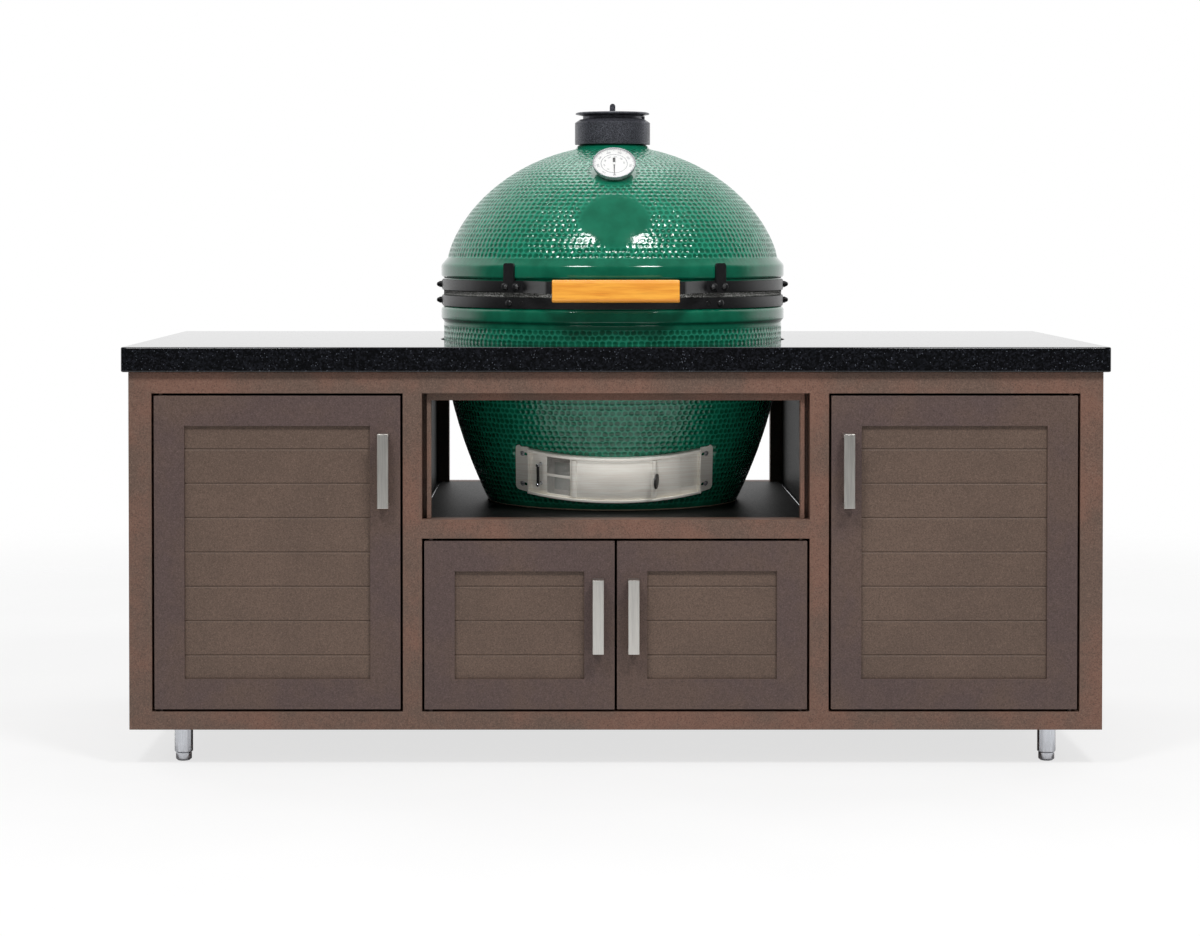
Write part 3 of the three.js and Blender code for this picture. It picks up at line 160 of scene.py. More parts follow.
# %% The finish class
class Finish:
    def __init__(self, name):
        self.material = bpy.data.materials.new(name)
        self.material.use_nodes = True
        self.tree = self.material.node_tree
        self.shader = self.tree.nodes["Principled BSDF"]

    def node(self, kind, settings=None, sockets=None, output=0):
        made_node = self.tree.nodes.new(kind)
        for key, value in (settings or {}).items():
            setattr(made_node, key, value)
        for key, value in (sockets or {}).items():
            self.feed(made_node.inputs[key], value)
        return Value(self, made_node.outputs[output])

    def sum_of(self, operation, *values):
        return self.node("ShaderNodeMath", {"operation": operation}, dict(enumerate(values)))

    def feed(self, socket, value):
        if isinstance(value, Value):
            self.tree.links.new(value.socket, socket)
        elif socket.type == "RGBA" and len(value) == 3:
            socket.default_value = (*value, 1)
        else:
            socket.default_value = value

    def place(self, stretch=(1, 1, 1)):
        where = self.node("ShaderNodeTexCoord", output="Object")
        return self.node("ShaderNodeMapping", None, {"Vector": where, "Scale": stretch})

    def noise(self, grain_mm, detail=3.0, roughness=0.5, stretch=(1, 1, 1)):
        sockets = {"Vector": self.place(stretch), "Scale": 1 / MM / grain_mm}
        sockets.update(Detail=detail, Roughness=roughness)
        return self.node("ShaderNodeTexNoise", None, sockets)

    def cells(self, grain_mm, output="Distance"):
        sockets = {"Vector": self.place(), "Scale": 1 / MM / grain_mm}
        return self.node("ShaderNodeTexVoronoi", None, sockets, output)

    def band(self, value, low, high, low_to=0.0, high_to=1.0):
        sockets = {"Value": value, "From Min": low, "From Max": high, "To Min": low_to, "To Max": high_to}
        return self.node("ShaderNodeMapRange", {"interpolation_type": "SMOOTHSTEP"}, sockets)

    def colours(self, share, first, second):
        mixed = self.tree.nodes.new("ShaderNodeMix")
        mixed.data_type = "RGBA"
        self.feed(mixed.inputs[0], share)
        self.feed(mixed.inputs[6], first)
        self.feed(mixed.inputs[7], second)
        return Value(self, mixed.outputs[2])

    def bump(self, height, depth_mm, strength=1.0, below=None):
        sockets = {"Height": height, "Distance": depth_mm * MM, "Strength": strength}
        if below:
            sockets["Normal"] = below
        return self.node("ShaderNodeBump", None, sockets)

    def coat(self, **sockets):
        for key, value in sockets.items():
            self.feed(self.shader.inputs[key.replace("_", " ")], value)
        return self.material

# %% [markdown]
# ## Polished black granite
# Black granite isn't black all over. Grains of dark grey and blue-grey lie in it, a few millimetres across,
# and small pale crystals catch the light. Polish gives it a mirror skin, so its colour shows best on the
# front edge, while the top mostly shows what stands behind it. Cells of two sizes make the grains and the
# crystals.

# %% Granite
def granite_finish():
    f = Finish("polished_granite")
    grain_size, crystal_size = 3.2, 2.9
    shade = f.node("ShaderNodeSeparateColor", None, {"Color": f.cells(grain_size, "Color")})
    grain = f.band(shade, 0.35, 1.0)
    cloud = f.noise(9, detail=4)
    stone = f.colours(grain * cloud, (0.0012, 0.0014, 0.002), (0.015, 0.0165, 0.022))
    draw = f.node("ShaderNodeSeparateColor", None, {"Color": f.cells(crystal_size, "Color")}, output=1)
    crystals = f.band(draw, 0.88, 0.96) * f.band(f.cells(crystal_size), 0.5, 0.2)
    flecked = f.colours(crystals * f.band(f.noise(7), 0.40, 0.62), stone, (0.085, 0.095, 0.115))
    polish = f.band(cloud, 0.3, 0.7, 0.045, 0.075)
    return f.coat(Base_Color=flecked, Roughness=polish, Specular_IOR_Level=0.5)


granite = granite_finish()
print("finish", granite.name)

# %% [markdown]
# ## Textured powder coat
# The cabinet is sprayed with a bronze powder that melts into a fine orange peel. It is a little redder on
# the face frame than on the doors, and clouds of red and brown run through it. The peel is about a
# millimetre across. Two noises of different size give the peel, a fine one gives darker and paler specks,
# and a slow one gives the clouds. The niche's sheets and the cooker's bands have black coats of the same
# kind.

# %% Powder coats
def powder_finish(name, colour, cloud_colour, roughness, peel_mm=1.1, depth_mm=0.05, gloss=0.5):
    f = Finish(name)
    clouds = f.noise(160, detail=5, roughness=0.6)
    speckle = f.noise(2.3, detail=3, roughness=0.7)
    toned = f.colours(f.band(clouds, 0.38, 0.64), colour, cloud_colour)
    dark = tuple(0.55 * c for c in colour)
    pale = tuple(1.8 * c + 0.012 * gloss for c in colour)
    peppered = f.colours(f.band(speckle, 0.50, 0.34) * 0.7, toned, dark)
    speckled = f.colours(f.band(speckle, 0.53, 0.70) * 0.6, peppered, pale)
    peel = f.noise(peel_mm, detail=2) + f.noise(3 * peel_mm, detail=1) * 0.6
    shine = f.band(speckle, 0.3, 0.7, roughness - 0.06, roughness + 0.08)
    return f.coat(Base_Color=speckled, Roughness=shine, Specular_IOR_Level=gloss,
                  Normal=f.bump(peel, depth_mm, 0.6))


bronze_frame = powder_finish("bronze_frame", (0.126, 0.081, 0.062), (0.182, 0.094, 0.067), 0.46, gloss=0.3)
bronze_door = powder_finish("bronze_door", (0.090, 0.060, 0.055), (0.108, 0.070, 0.055), 0.48, gloss=0.32)
bronze_board = powder_finish("bronze_board", (0.110, 0.073, 0.055), (0.126, 0.083, 0.062), 0.48, gloss=0.35)
coal = (0.003, 0.003, 0.003)
black_sheet = powder_finish("black_sheet", coal, (0.005, 0.005, 0.005), 0.5, 2.2, 0.03, gloss=0.25)
black_wall = powder_finish("black_wall", coal, (0.004, 0.004, 0.004), 0.4, 2.2, 0.03, gloss=0.012)
black_band = powder_finish("black_band", (0.007, 0.007, 0.008), (0.011, 0.011, 0.012), 0.34, 0.8, 0.04)
powder_coats = (bronze_frame, bronze_door, bronze_board, black_sheet, black_wall, black_band)
print("powder coats", [m.name for m in powder_coats])

# %% [markdown]
# ## Green glaze
# The cooker's ceramic is glazed in a deep green. Glaze pools a little in the pits and thins out on the
# ridges between them. The colour also carries painted shade in the pits and a painted highlight on the
# ridges, so its green is darker in the pits and paler on the ridges. No two pits are quite alike: each
# strays a little from its place in the row, and some are shallower. The surface is as smooth as glass, with
# a slight ripple. The pits are part of the shape, because they show along the outline. But a mesh fine
# enough for their sharp ridges would be far too big, so each face of the shells also stores where it lies in
# its pit,
# as a vector named pit_place: how far round, how far up, and how full the pit is there. The glaze reads it
# for its colour and bump. Inside and underneath the clay is bare, and there the third number is -1.

# %% Glaze
PIT_PITCH = 12.2
PIT_ROW = 10.4
PIT_WIDE = 6.1
PIT_HIGH = 5.3
PIT_STRAY = 0.5


def glaze_finish():
    f = Finish("green_glaze")
    place = {"Vector": f.node("ShaderNodeAttribute", {"attribute_name": "pit_place"}, output=1)}
    sideways, upward, kind = (f.node("ShaderNodeSeparateXYZ", None, place, output=k) for k in range(3))
    share = f.band(kind, 0.0, 1.0)
    bare = f.band(kind, -0.3, -0.7)
    sideways, upward = (where - f.sum_of("ROUND", where) for where in (sideways, upward))
    sideways = (sideways + f.noise(19, detail=1) * PIT_STRAY - PIT_STRAY / 2) * (PIT_PITCH / PIT_WIDE)
    upward = (upward + f.noise(23, detail=1) * PIT_STRAY - PIT_STRAY / 2) * (PIT_ROW / PIT_HIGH)
    bowl = f.sum_of("MAXIMUM", 1 - sideways * sideways - upward * upward, 0.0)
    bowl = bowl * share * f.band(f.noise(16, detail=1), 0.36, 0.58, 0.5, 1.0)
    pools = f.noise(34, detail=4, roughness=0.55)
    green = f.colours(f.band(pools, 0.34, 0.7), (0.0022, 0.104, 0.056), (0.0046, 0.138, 0.076))
    # Painted highlight and painted shade: the ridges between the pits are painted paler and the pits darker,
    # partly for thinner and pooled glaze and partly for the light and shade of the pits.
    thin_glaze_and_painted_highlight = f.colours(f.band(bowl, 0.34, 0.0) * share * 0.65, green, (0.022, 0.296, 0.180))
    pooled_glaze_and_painted_shade = f.colours(f.band(bowl, 0.35, 0.95) * 0.7, thin_glaze_and_painted_highlight, (0.0012, 0.070, 0.035))
    ripple = f.bump(f.noise(15, detail=2), 0.30, 0.35)
    dimples = f.bump(bowl * -1 + f.noise(3.0, detail=2) * 0.12, 0.9, 1.0, ripple)
    shine = f.band(pools, 0.3, 0.7, 0.06, 0.11)
    sand = f.colours(f.band(f.noise(60, detail=5), 0.35, 0.7), (0.46, 0.38, 0.28), (0.33, 0.27, 0.20))
    finished = f.colours(bare, pooled_glaze_and_painted_shade, sand)
    dull = shine + bare * 0.8
    return f.coat(Base_Color=finished, Roughness=dull, Normal=dimples, Coat_Weight=0.25 - bare * 0.25,
                  Coat_Roughness=0.05)


green_glaze = glaze_finish()
print("finish", green_glaze.name)

# %% [markdown]
# ## Brushed, bright and cast metals
# Brushed steel shows fine lines all in one direction. Noise that is stretched a hundred times along that
# direction gives them, in the colour, the bump and the roughness. The draft door's lines run across and the
# pulls' run up. Less stretch serves for polished steel and for wire, where lines hardly show. Cast iron has
# a dull sandy skin with a bluish sheen.

# %% Metals
LINE_GRAIN = 0.35


def brushed_finish(name, colour, stretch, roughness, depth_mm=0.02, metal=1.0, spread=0.0):
    f = Finish(name)
    lines = f.noise(LINE_GRAIN, detail=2, stretch=stretch)
    wide = f.noise(6 * LINE_GRAIN, detail=2, stretch=stretch)
    tone = f.band(lines * 0.6 + wide * 0.4, 0.35, 0.65)
    pale = tuple(min(1.0, 1.12 * c) for c in colour)
    dark = tuple(0.86 * c for c in colour)
    shine = f.band(lines, 0.3, 0.7, roughness - 0.05, roughness + 0.08)
    return f.coat(Base_Color=f.colours(tone, dark, pale), Roughness=shine, Metallic=metal,
                  Anisotropic=spread, Normal=f.bump(lines, depth_mm, 0.5))


def iron_finish():
    f = Finish("cast_iron")
    sand = f.noise(1.5, detail=3, roughness=0.7)
    colour = f.colours(f.band(sand, 0.40, 0.70), (0.026, 0.027, 0.032), (0.20, 0.205, 0.245))
    shine = f.band(f.noise(7), 0.3, 0.7, 0.30, 0.42)
    return f.coat(Base_Color=colour, Roughness=shine, Metallic=0.55, Normal=f.bump(sand, 0.3, 0.8))


steel_across = brushed_finish("steel_brushed_across", (1.0, 0.93, 0.83), (0.01, 0.01, 1), 0.40, 0.006,
                              metal=0.25, spread=0.8)
steel_up = brushed_finish("steel_brushed_up", (0.72, 0.70, 0.66), (1, 1, 0.01), 0.33)
chrome = brushed_finish("polished_steel", (0.62, 0.64, 0.68), (1, 1, 0.05), 0.12, 0.003)
case_steel = brushed_finish("case_steel", (0.50, 0.51, 0.53), (1, 1, 0.3), 0.26, 0.002, metal=0.7)
wire_steel = brushed_finish("wire_steel", (0.56, 0.55, 0.52), (1, 1, 0.2), 0.32, 0.01, metal=0.6)
spring_steel = brushed_finish("spring_steel", (0.46, 0.46, 0.47), (0.2, 1, 1), 0.25, 0.01)
cast_iron = iron_finish()
metals = (steel_across, steel_up, chrome, case_steel, wire_steel, spring_steel, cast_iron)
print("metals", [m.name for m in metals])

# %% [markdown]
# ## Wood, felt, clay, dial and glass
# The grip is a hardwood bar under an orange varnish: long grain along the bar, darker pores and a clear
# coat. The gaskets are pressed grey felt. The fire box is bare clay, sandy and pale. The dial is white card
# under a flat glass, its print is dark grey ink, and its pointer is black paint.

# %% The small finishes
def wood_finish():
    f = Finish("varnished_wood")
    grain = f.noise(9, detail=5, roughness=0.6, stretch=(0.07, 1, 1))
    pores = f.noise(1.4, detail=2, stretch=(0.03, 1, 1))
    colour = f.colours(f.band(grain, 0.32, 0.68), (0.74, 0.27, 0.020), (0.88, 0.40, 0.042))
    lined = f.colours(f.band(pores, 0.56, 0.72) * 0.4, colour, (0.48, 0.13, 0.010))
    return f.coat(Base_Color=lined, Roughness=0.42, Normal=f.bump(pores, 0.05, 0.4),
                  Coat_Weight=0.3, Coat_Roughness=0.15)


def felt_finish():
    f = Finish("grey_felt")
    fibre = f.noise(2.6, detail=5, roughness=0.8)
    colour = f.colours(f.band(fibre, 0.42, 0.62), (0.022, 0.024, 0.022), (0.40, 0.40, 0.38))
    return f.coat(Base_Color=colour, Roughness=0.95, Normal=f.bump(fibre, 1.2, 1.0))


def clay_finish():
    f = Finish("fired_clay")
    sand = f.noise(1.8, detail=4, roughness=0.65)
    smoke = f.noise(120, detail=4)
    colour = f.colours(f.band(smoke, 0.4, 0.75), (0.52, 0.40, 0.27), (0.30, 0.23, 0.16))
    return f.coat(Base_Color=colour, Roughness=0.9, Normal=f.bump(sand, 0.3, 0.8))


def paint_finish(name, colour, roughness):
    f = Finish(name)
    grain = f.noise(0.7, detail=2)
    darker = tuple(0.9 * c for c in colour)
    return f.coat(Base_Color=f.colours(f.band(grain, 0.4, 0.7), colour, darker), Roughness=roughness,
                  Normal=f.bump(grain, 0.01, 0.3))


def glass_finish():
    f = Finish("dial_glass")
    smear = f.band(f.noise(6, detail=3), 0.4, 0.8, 0.02, 0.06)
    return f.coat(Base_Color=(1, 1, 1), Roughness=smear, Alpha=0.05, IOR=1.45)


varnished_wood = wood_finish()
grey_felt = felt_finish()
fired_clay = clay_finish()
dial_white = paint_finish("dial_white", (0.75, 0.75, 0.74), 0.6)
black_paint = paint_finish("black_paint", (0.01, 0.01, 0.01), 0.45)
grey_ink = paint_finish("grey_ink", (0.09, 0.10, 0.12), 0.6)
dial_glass = glass_finish()
print("small finishes made")

# %% [markdown]
# ## Making a piece
# Most pieces come from one of three ways: turned on a lathe, swept along a line, or taken over from the
# frame with their edges eased. All end alike: as a mesh with one finish, shaded smooth up to a set angle,
# riding on its body and standing for its node. One function does that end for them all.

# %% From points and faces to a finished piece
def mesh_of(name, points, faces):
    mesh = bpy.data.meshes.new(name)
    mesh.from_pydata([tuple(p) for p in np.asarray(points, float) * MM], [], [tuple(f) for f in faces])
    mesh.validate()
    return mesh


def together(*parts):
    """Several (points, faces) as one."""
    points = []
    faces = []
    for part_points, part_faces in parts:
        shift = len(points)
        points.extend(tuple(p) for p in np.asarray(part_points).reshape(-1, 3))
        faces.extend(tuple(i + shift for i in face) for face in part_faces)
    return points, faces


def outward(mesh):
    shape = bmesh.new()
    shape.from_mesh(mesh)
    bmesh.ops.recalc_face_normals(shape, faces=shape.faces)
    shape.to_mesh(mesh)
    shape.free()


def piece(name, mesh, finish, body, replaced=(), crease=35):
    outward(mesh)
    mesh.shade_smooth()
    mesh.set_sharp_from_angle(angle=math.radians(crease))
    mesh.materials.clear()
    mesh.materials.append(finish)
    thing = bpy.data.objects.new(name, mesh)
    bpy.context.scene.collection.objects.link(thing)
    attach(thing, body)
    if replaced:
        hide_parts(*replaced)
    made.append(thing)
    return thing


def built(name, finish, body, *parts, replaced=(), slot=None):
    return piece(name, mesh_of(name, *together(*parts)), finish, body, replaced)


# %% [markdown]
# ## Lathe work
# A round piece is a closed outline of radius and height, turned about the cooker's axis. Corners of the
# outline are rounded first, because no fired, cast or rolled edge is sharp, and a round edge is what
# catches the light.

# %% Rounded outlines and turning
def rounded(outline, radius, steps=3):
    """The closed outline with its corners rounded; radius is one number, or a list with one for each."""
    radii = radius if isinstance(radius, (list, tuple)) else [radius] * len(outline)
    result = []
    for i, corner in enumerate(outline):
        here = np.array(corner, float)
        before = np.array(outline[i - 1], float) - here
        after = np.array(outline[(i + 1) % len(outline)], float) - here
        reach = min(radii[i], np.linalg.norm(before) / 2.01, np.linalg.norm(after) / 2.01)
        if reach < 0.02:
            result.append(tuple(here))
            continue
        first = here + before / np.linalg.norm(before) * reach
        last = here + after / np.linalg.norm(after) * reach
        for k in range(steps + 1):
            t = k / steps
            result.append(tuple((1 - t) ** 2 * first + 2 * t * (1 - t) * here + t ** 2 * last))
    return result


def turned(outline, columns, centre=(0, AXIS_Y)):
    radii = np.array([p[0] for p in outline])[:, None]
    heights = np.array([p[1] for p in outline])[:, None]
    angles = np.arange(columns)[None, :] * TURN / columns
    points = np.stack([centre[0] + radii * np.sin(angles), centre[1] - radii * np.cos(angles),
                       heights + 0 * angles], axis=-1)
    return points, wrapped_faces(len(outline), columns)


def wrapped_faces(rows, columns, rows_wrap=True):
    faces = []
    for i in range(rows if rows_wrap else rows - 1):
        here = i * columns
        below = (i + 1) % rows * columns
        for j in range(columns):
            right = (j + 1) % columns
            faces.append((here + j, here + right, below + right, below + j))
    return faces


def tube_faces(rows, sides):
    """Faces of a tube of rows of points, closed by a flat face at either end."""
    first = tuple(range(sides))
    last = tuple((rows - 1) * sides + k for k in reversed(first))
    return wrapped_faces(rows, sides, rows_wrap=False) + [first, last]


def ring_outline(inner, outer, low, high):
    return [(inner, low), (outer, low), (outer, high), (inner, high)]


def turned_mesh(name, outline, columns, ease=0.5, centre=(0, AXIS_Y), steps=3):
    return mesh_of(name, *together(turned(rounded(outline, ease, steps), columns, centre)))


# %% [markdown]
# ## Easing the edges of a piece from the frame
# Boxy pieces have the right shape already. On the real table their edges are folded, sawn or welded, and so
# rounded by a millimetre or two. A copy of the node has its flat faces joined into whole ones, a bevel runs
# round its edges, and the copy stands for the node.

# %% Eased copies
SHARP_FROM = 30
FLAT_UNDER = 0.5
SAME_PLACE = 0.01


def baked(thing):
    """The mesh of a thing with its modifiers applied."""
    view = bpy.context.evaluated_depsgraph_get()
    mesh = bpy.data.meshes.new_from_object(thing.evaluated_get(view))
    bpy.data.objects.remove(thing)
    return mesh


def loose_thing(mesh):
    thing = bpy.data.objects.new("work", mesh)
    bpy.context.scene.collection.objects.link(thing)
    return thing


def eased_mesh(mesh, width_mm, segments):
    thing = loose_thing(mesh)
    bevel = thing.modifiers.new("ease", "BEVEL")
    bevel.width = width_mm * MM
    bevel.segments = segments
    bevel.limit_method = "ANGLE"
    bevel.angle_limit = math.radians(SHARP_FROM)
    return baked(thing)


def copied_mesh(node):
    shape = bmesh.new()
    shape.from_mesh(nodes[node].data)
    bmesh.ops.remove_doubles(shape, verts=shape.verts, dist=SAME_PLACE * MM)
    limit = math.radians(FLAT_UNDER)
    bmesh.ops.dissolve_limit(shape, angle_limit=limit, verts=shape.verts, edges=shape.edges)
    mesh = bpy.data.meshes.new(node + "_copy")
    shape.to_mesh(mesh)
    shape.free()
    return mesh


def evened(thing):
    """Large flat faces keep their own light, and only the eased edges curve."""
    even = thing.modifiers.new("even", "WEIGHTED_NORMAL")
    even.keep_sharp = True
    return thing


def eased(node, finish, width_mm, segments=2, name=None, crease=35):
    body = nodes[node]["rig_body"]
    mesh = eased_mesh(copied_mesh(node), width_mm, segments)
    return evened(piece(name or "shown_" + node, mesh, finish, body, (node,), crease=crease))


# %% [markdown]
# ## Sweeping along a line
# Rods, wires, studs and rims of sheet are one cross-section carried along a path. At each point of the path
# the section stands square to it. The first and last section are closed with a flat face.

# %% Rods and wires
def swept(path, section):
    """Points and faces of a section, in (across, up), carried along a path of points in millimetres."""
    path = np.asarray(path, float)
    ahead = np.gradient(path, axis=0)
    ahead /= np.linalg.norm(ahead, axis=1)[:, None]
    across = np.zeros_like(path)
    start = np.array([0, 0, 1.0]) if abs(ahead[0][2]) < 0.9 else np.array([1.0, 0, 0])
    current = np.cross(ahead[0], start)
    for i, direction in enumerate(ahead):
        current = current - direction * np.dot(current, direction)
        current = current / np.linalg.norm(current)
        across[i] = current
    up = np.cross(across, ahead)
    section = np.asarray(section, float)
    points = path[:, None] + across[:, None] * section[None, :, :1] + up[:, None] * section[None, :, 1:]
    return points.reshape(-1, 3), tube_faces(len(path), len(section))


def circle(radius, sides=12):
    return [(radius * math.cos(TURN * k / sides), radius * math.sin(TURN * k / sides)) for k in range(sides)]


def rod(start, end, radius, sides=16):
    return swept(np.linspace(start, end, 2), circle(radius, sides))


def knob(profile, place, direction, sides=20):
    """A small turned piece, such as a bolt head: profile is (radius, length) pairs along its direction."""
    along = Vector(direction).normalized()
    across = along.orthogonal().normalized()
    up = along.cross(across)
    rows = [np.array([Vector(place) + along * length + across * (radius * math.cos(TURN * k / sides))
                      + up * (radius * math.sin(TURN * k / sides)) for k in range(sides)])
            for radius, length in profile]
    return np.concatenate(rows), tube_faces(len(rows), sides)


def plate(corners, low, high):
    """A flat four-cornered plate between two heights."""
    points = [(x, y, z) for z in (low, high) for x, y in corners]
    return points, [(3, 2, 1, 0), (4, 5, 6, 7), (0, 1, 5, 4), (1, 2, 6, 5), (2, 3, 7, 6), (3, 0, 4, 7)]


def on_wall(radius, degrees, height, axis_y=AXIS_Y):
    """A place on a round wall and the direction out of it; the angle runs from the front to the right."""
    a = math.radians(degrees)
    return (radius * math.sin(a), axis_y - radius * math.cos(a), height), (math.sin(a), -math.cos(a), 0)

# %% [markdown]
# ## The stone counter
# The counter is a slab with its four corners and all its edges slightly rounded, and a round hole in the
# middle. If a mesh has to be both a rectangle outside and a circle inside, a fan of columns between the two
# keeps the faces clean: each column joins a point of the circle with the point of the rectangle that lies
# in the same direction. The columns also carry the small round-overs of the edges.

# %% Counter
counter_low, counter_high = box_of("countertop")
COUNTER_HALF_X, COUNTER_HALF_Y = (counter_high - counter_low)[:2] / 2
COUNTER_LOW, COUNTER_HIGH = counter_low[2], counter_high[2]
COUNTER_CORNER, COUNTER_EASE = 7, 3
COUNTER_HOLE, HOLE_EASE = 347, 1.5
COUNTER_COLUMNS = 240
CORNER_COLUMNS, CORNER_STEP = 11, math.radians(0.15)


def on_rectangle(direction, half_x, half_y, corner):
    """Where a ray from the middle meets a rectangle with rounded corners."""
    x, y = direction
    scale = 1 / max(abs(x) / half_x, abs(y) / half_y)
    px, py = x * scale, y * scale
    cx, cy = half_x - corner, half_y - corner
    if abs(px) <= cx or abs(py) <= cy:
        return px, py
    centre = np.array([math.copysign(cx, px), math.copysign(cy, py)])
    along = np.array([x, y])
    b = np.dot(along, centre)
    reach = b + math.sqrt(max(b * b - np.dot(along, along) * (np.dot(centre, centre) - corner ** 2), 0))
    return tuple(along * reach / np.dot(along, along))


def counter_mesh():
    corner = math.atan2(COUNTER_HALF_Y, COUNTER_HALF_X)
    spread = [corner + CORNER_STEP * (k - CORNER_COLUMNS // 2) for k in range(CORNER_COLUMNS)]
    angles = [TURN * k / COUNTER_COLUMNS for k in range(COUNTER_COLUMNS)]
    for start, way in ((0, 1), (math.pi, -1), (math.pi, 1), (0, -1)):
        angles.extend((start + way * a) % TURN for a in spread)
    angles = sorted(set(round(a, 6) for a in angles))
    ease = COUNTER_EASE
    curve = [(1 - math.cos(t), math.sin(t)) for t in np.linspace(0, math.pi / 2, 5)]
    rows = [("hole", 0, COUNTER_LOW), ("hole", 0, COUNTER_HIGH - HOLE_EASE),
            ("hole", -HOLE_EASE / 3, COUNTER_HIGH - HOLE_EASE / 3), ("hole", -HOLE_EASE, COUNTER_HIGH)]
    rows += [("edge", ease - ease * s, COUNTER_HIGH - ease * c) for c, s in curve]
    rows += [("edge", ease * c, COUNTER_LOW + ease - ease * s) for c, s in curve]
    points = []
    for kind, inset, height in rows:
        for a in angles:
            x, y = math.cos(a), math.sin(a)
            if kind == "hole":
                x, y = (COUNTER_HOLE - inset) * x, (COUNTER_HOLE - inset) * y
            else:
                halves = (COUNTER_HALF_X - inset, COUNTER_HALF_Y - inset)
                x, y = on_rectangle((x, y), *halves, COUNTER_CORNER - inset)
            points.append((x, y + AXIS_Y, height))
    return mesh_of("counter", points, wrapped_faces(len(rows), len(angles)))


evened(piece("stone_counter", counter_mesh(), granite, "cabinet", ("countertop",), crease=50))
print("counter", len(made[-1].data.polygons), "faces")

# %% [markdown]
# ## Cabinet frames, panels and sheets
# The face frames are mitred and welded tube, and the panels and walls are folded sheet. All of them keep
# the shape of their node, with edges eased by about a millimetre. The niche's walls are black, and the
# panels behind are as dark a brown as the doors' frames.

# %% Cabinet pieces
for node in ("front_face_frame", "rear_face_frame", "left_end_panel", "right_end_panel"):
    eased(node, bronze_frame, 1.2)
for node in ("cabinet_floor", "front_niche_trim", "rear_niche_trim"):
    eased(node, bronze_frame, 0.7)
for node in ("left_bay_wall", "right_bay_wall"):
    eased(node, black_wall, 0.8)

# %% [markdown]
# ### The shelf and its bright edges
# The cooker stands on a black shelf. A thin bright strip lies along the shelf's left and right edge. Seen
# from the front, each is a short bright line in a lower corner of the niche.

# %% Shelf
STRIP_X, STRIP_HALF, STRIP_RISE = 368, 1.3, 1.2
STRIP_FROM_FRONT, STRIP_FROM_BACK = 30, 12
shelf_low, shelf_high = box_of("grill_shelf")
eased("grill_shelf", black_sheet, 0.8)
strip_ends = (shelf_low[1] + STRIP_FROM_FRONT, shelf_high[1] - STRIP_FROM_BACK)
section = [(STRIP_HALF * x, STRIP_RISE * y) for x, y in circle(1, 12)]
strips = [swept([(side * STRIP_X, y, shelf_high[2]) for y in strip_ends], section) for side in (-1, 1)]
built("shelf_edge_strips", chrome, "cabinet", *strips, slot="stainless")
print("strips", round(strip_ends[1] - strip_ends[0]), "mm long")

# %% Panels behind
for node in ("rear_left_panel", "rear_right_panel", "rear_center_panel"):
    eased(node, bronze_door, 0.9)
print("cabinet pieces", len(made))

# %% [markdown]
# ## Doors
# Each door is a welded frame with a panel of boards set into it and a bar pull near its free edge. The pull
# is one flat bar of brushed steel, folded at both ends. Its grain runs along the bar. The boards are a
# lighter brown than the frames round them.

# %% Doors and their pulls
for door in ("left", "right", "lower_left", "lower_right"):
    eased(door + "_door_frame", bronze_door, 1.3)
    eased(door + "_door_boards", bronze_board, 0.7)
    eased(door + "_door_pull", steel_up, 1.1, 3)
print("doors done, pieces so far", len(made))

# %% [markdown]
# ## Legs
# Short polished sleeves come out of the cabinet's floor, and a polished foot screws up and down in each.
# The foot has a narrow groove above its bevelled end, so that a spanner or a finger finds hold.

# %% Leg sleeves and feet
for corner in ("front_left", "front_right", "rear_left", "rear_right"):
    node = corner + "_foot"
    low, high = box_of(node)
    top = high[2]
    eased(corner + "_leg_sleeve", chrome, 0.5)
    foot = [(0.01, 0), (11.3, 0), (15.1, 3.2), (15.1, 15.6), (14.4, 17), (9.5, 17.2), (9.5, top),
            (0.01, top)]
    mesh = turned_mesh(node, foot, 48, centre=(low + high)[:2] / 2, steps=2)
    piece(corner + "_levelling_foot", mesh, chrome, node, (node,))
print("legs done, feet", top, "mm high")

# %% [markdown]
# ## The ceramic shells
# The base and the dome are one thick wall of ceramic each. Their outline is a few straight steps at the
# rims and a long smooth belly or crown. Shallow round pits cover the belly and the crown, in staggered
# rows. Pits like these could be painted on with a bump, but then the outline would stay smooth. So the
# lathe work gets a fine mesh, and its points are pushed in by what the nearest pit asks. Each row of pits
# has its own count, because a row near the chimney is much shorter than one at the rim.

# %% Curves and even spacing
def bezier(points, steps):
    points = np.array(points, float)
    curve = []
    for t in np.linspace(0, 1, steps + 1):
        level = points
        while len(level) > 1:
            level = (1 - t) * level[:-1] + t * level[1:]
        curve.append(tuple(level[0]))
    return curve


def stepped(curve, step):
    """The curve with points exactly step apart, in whole threes of steps, and its own end by itself."""
    curve = np.array(curve, float)
    lengths = np.concatenate([[0], np.cumsum(np.linalg.norm(np.diff(curve, axis=0), axis=1))])
    wanted = np.arange(3 * int(lengths[-1] / step / 3) + 1) * step
    points = np.stack([np.interp(wanted, lengths, values) for values in curve.T], axis=1)
    return points, tuple(curve[-1])


# %% Pits in staggered rows
# Mesh rows lie a third of a pit row apart, so that no face reaches from one row of pits into the next.
PIT_DEPTH = 1.0
PIT_EDGE = 0.88
BELLY_STEP = PIT_ROW / 3
SHELL_COLUMNS = 640


def scattered(first, second):
    """A share from 0 to 1 that looks drawn by lot, but is always the same for the same two numbers."""
    return np.sin(12.9898 * first + 78.233 * second) * 43758.5453 % 1


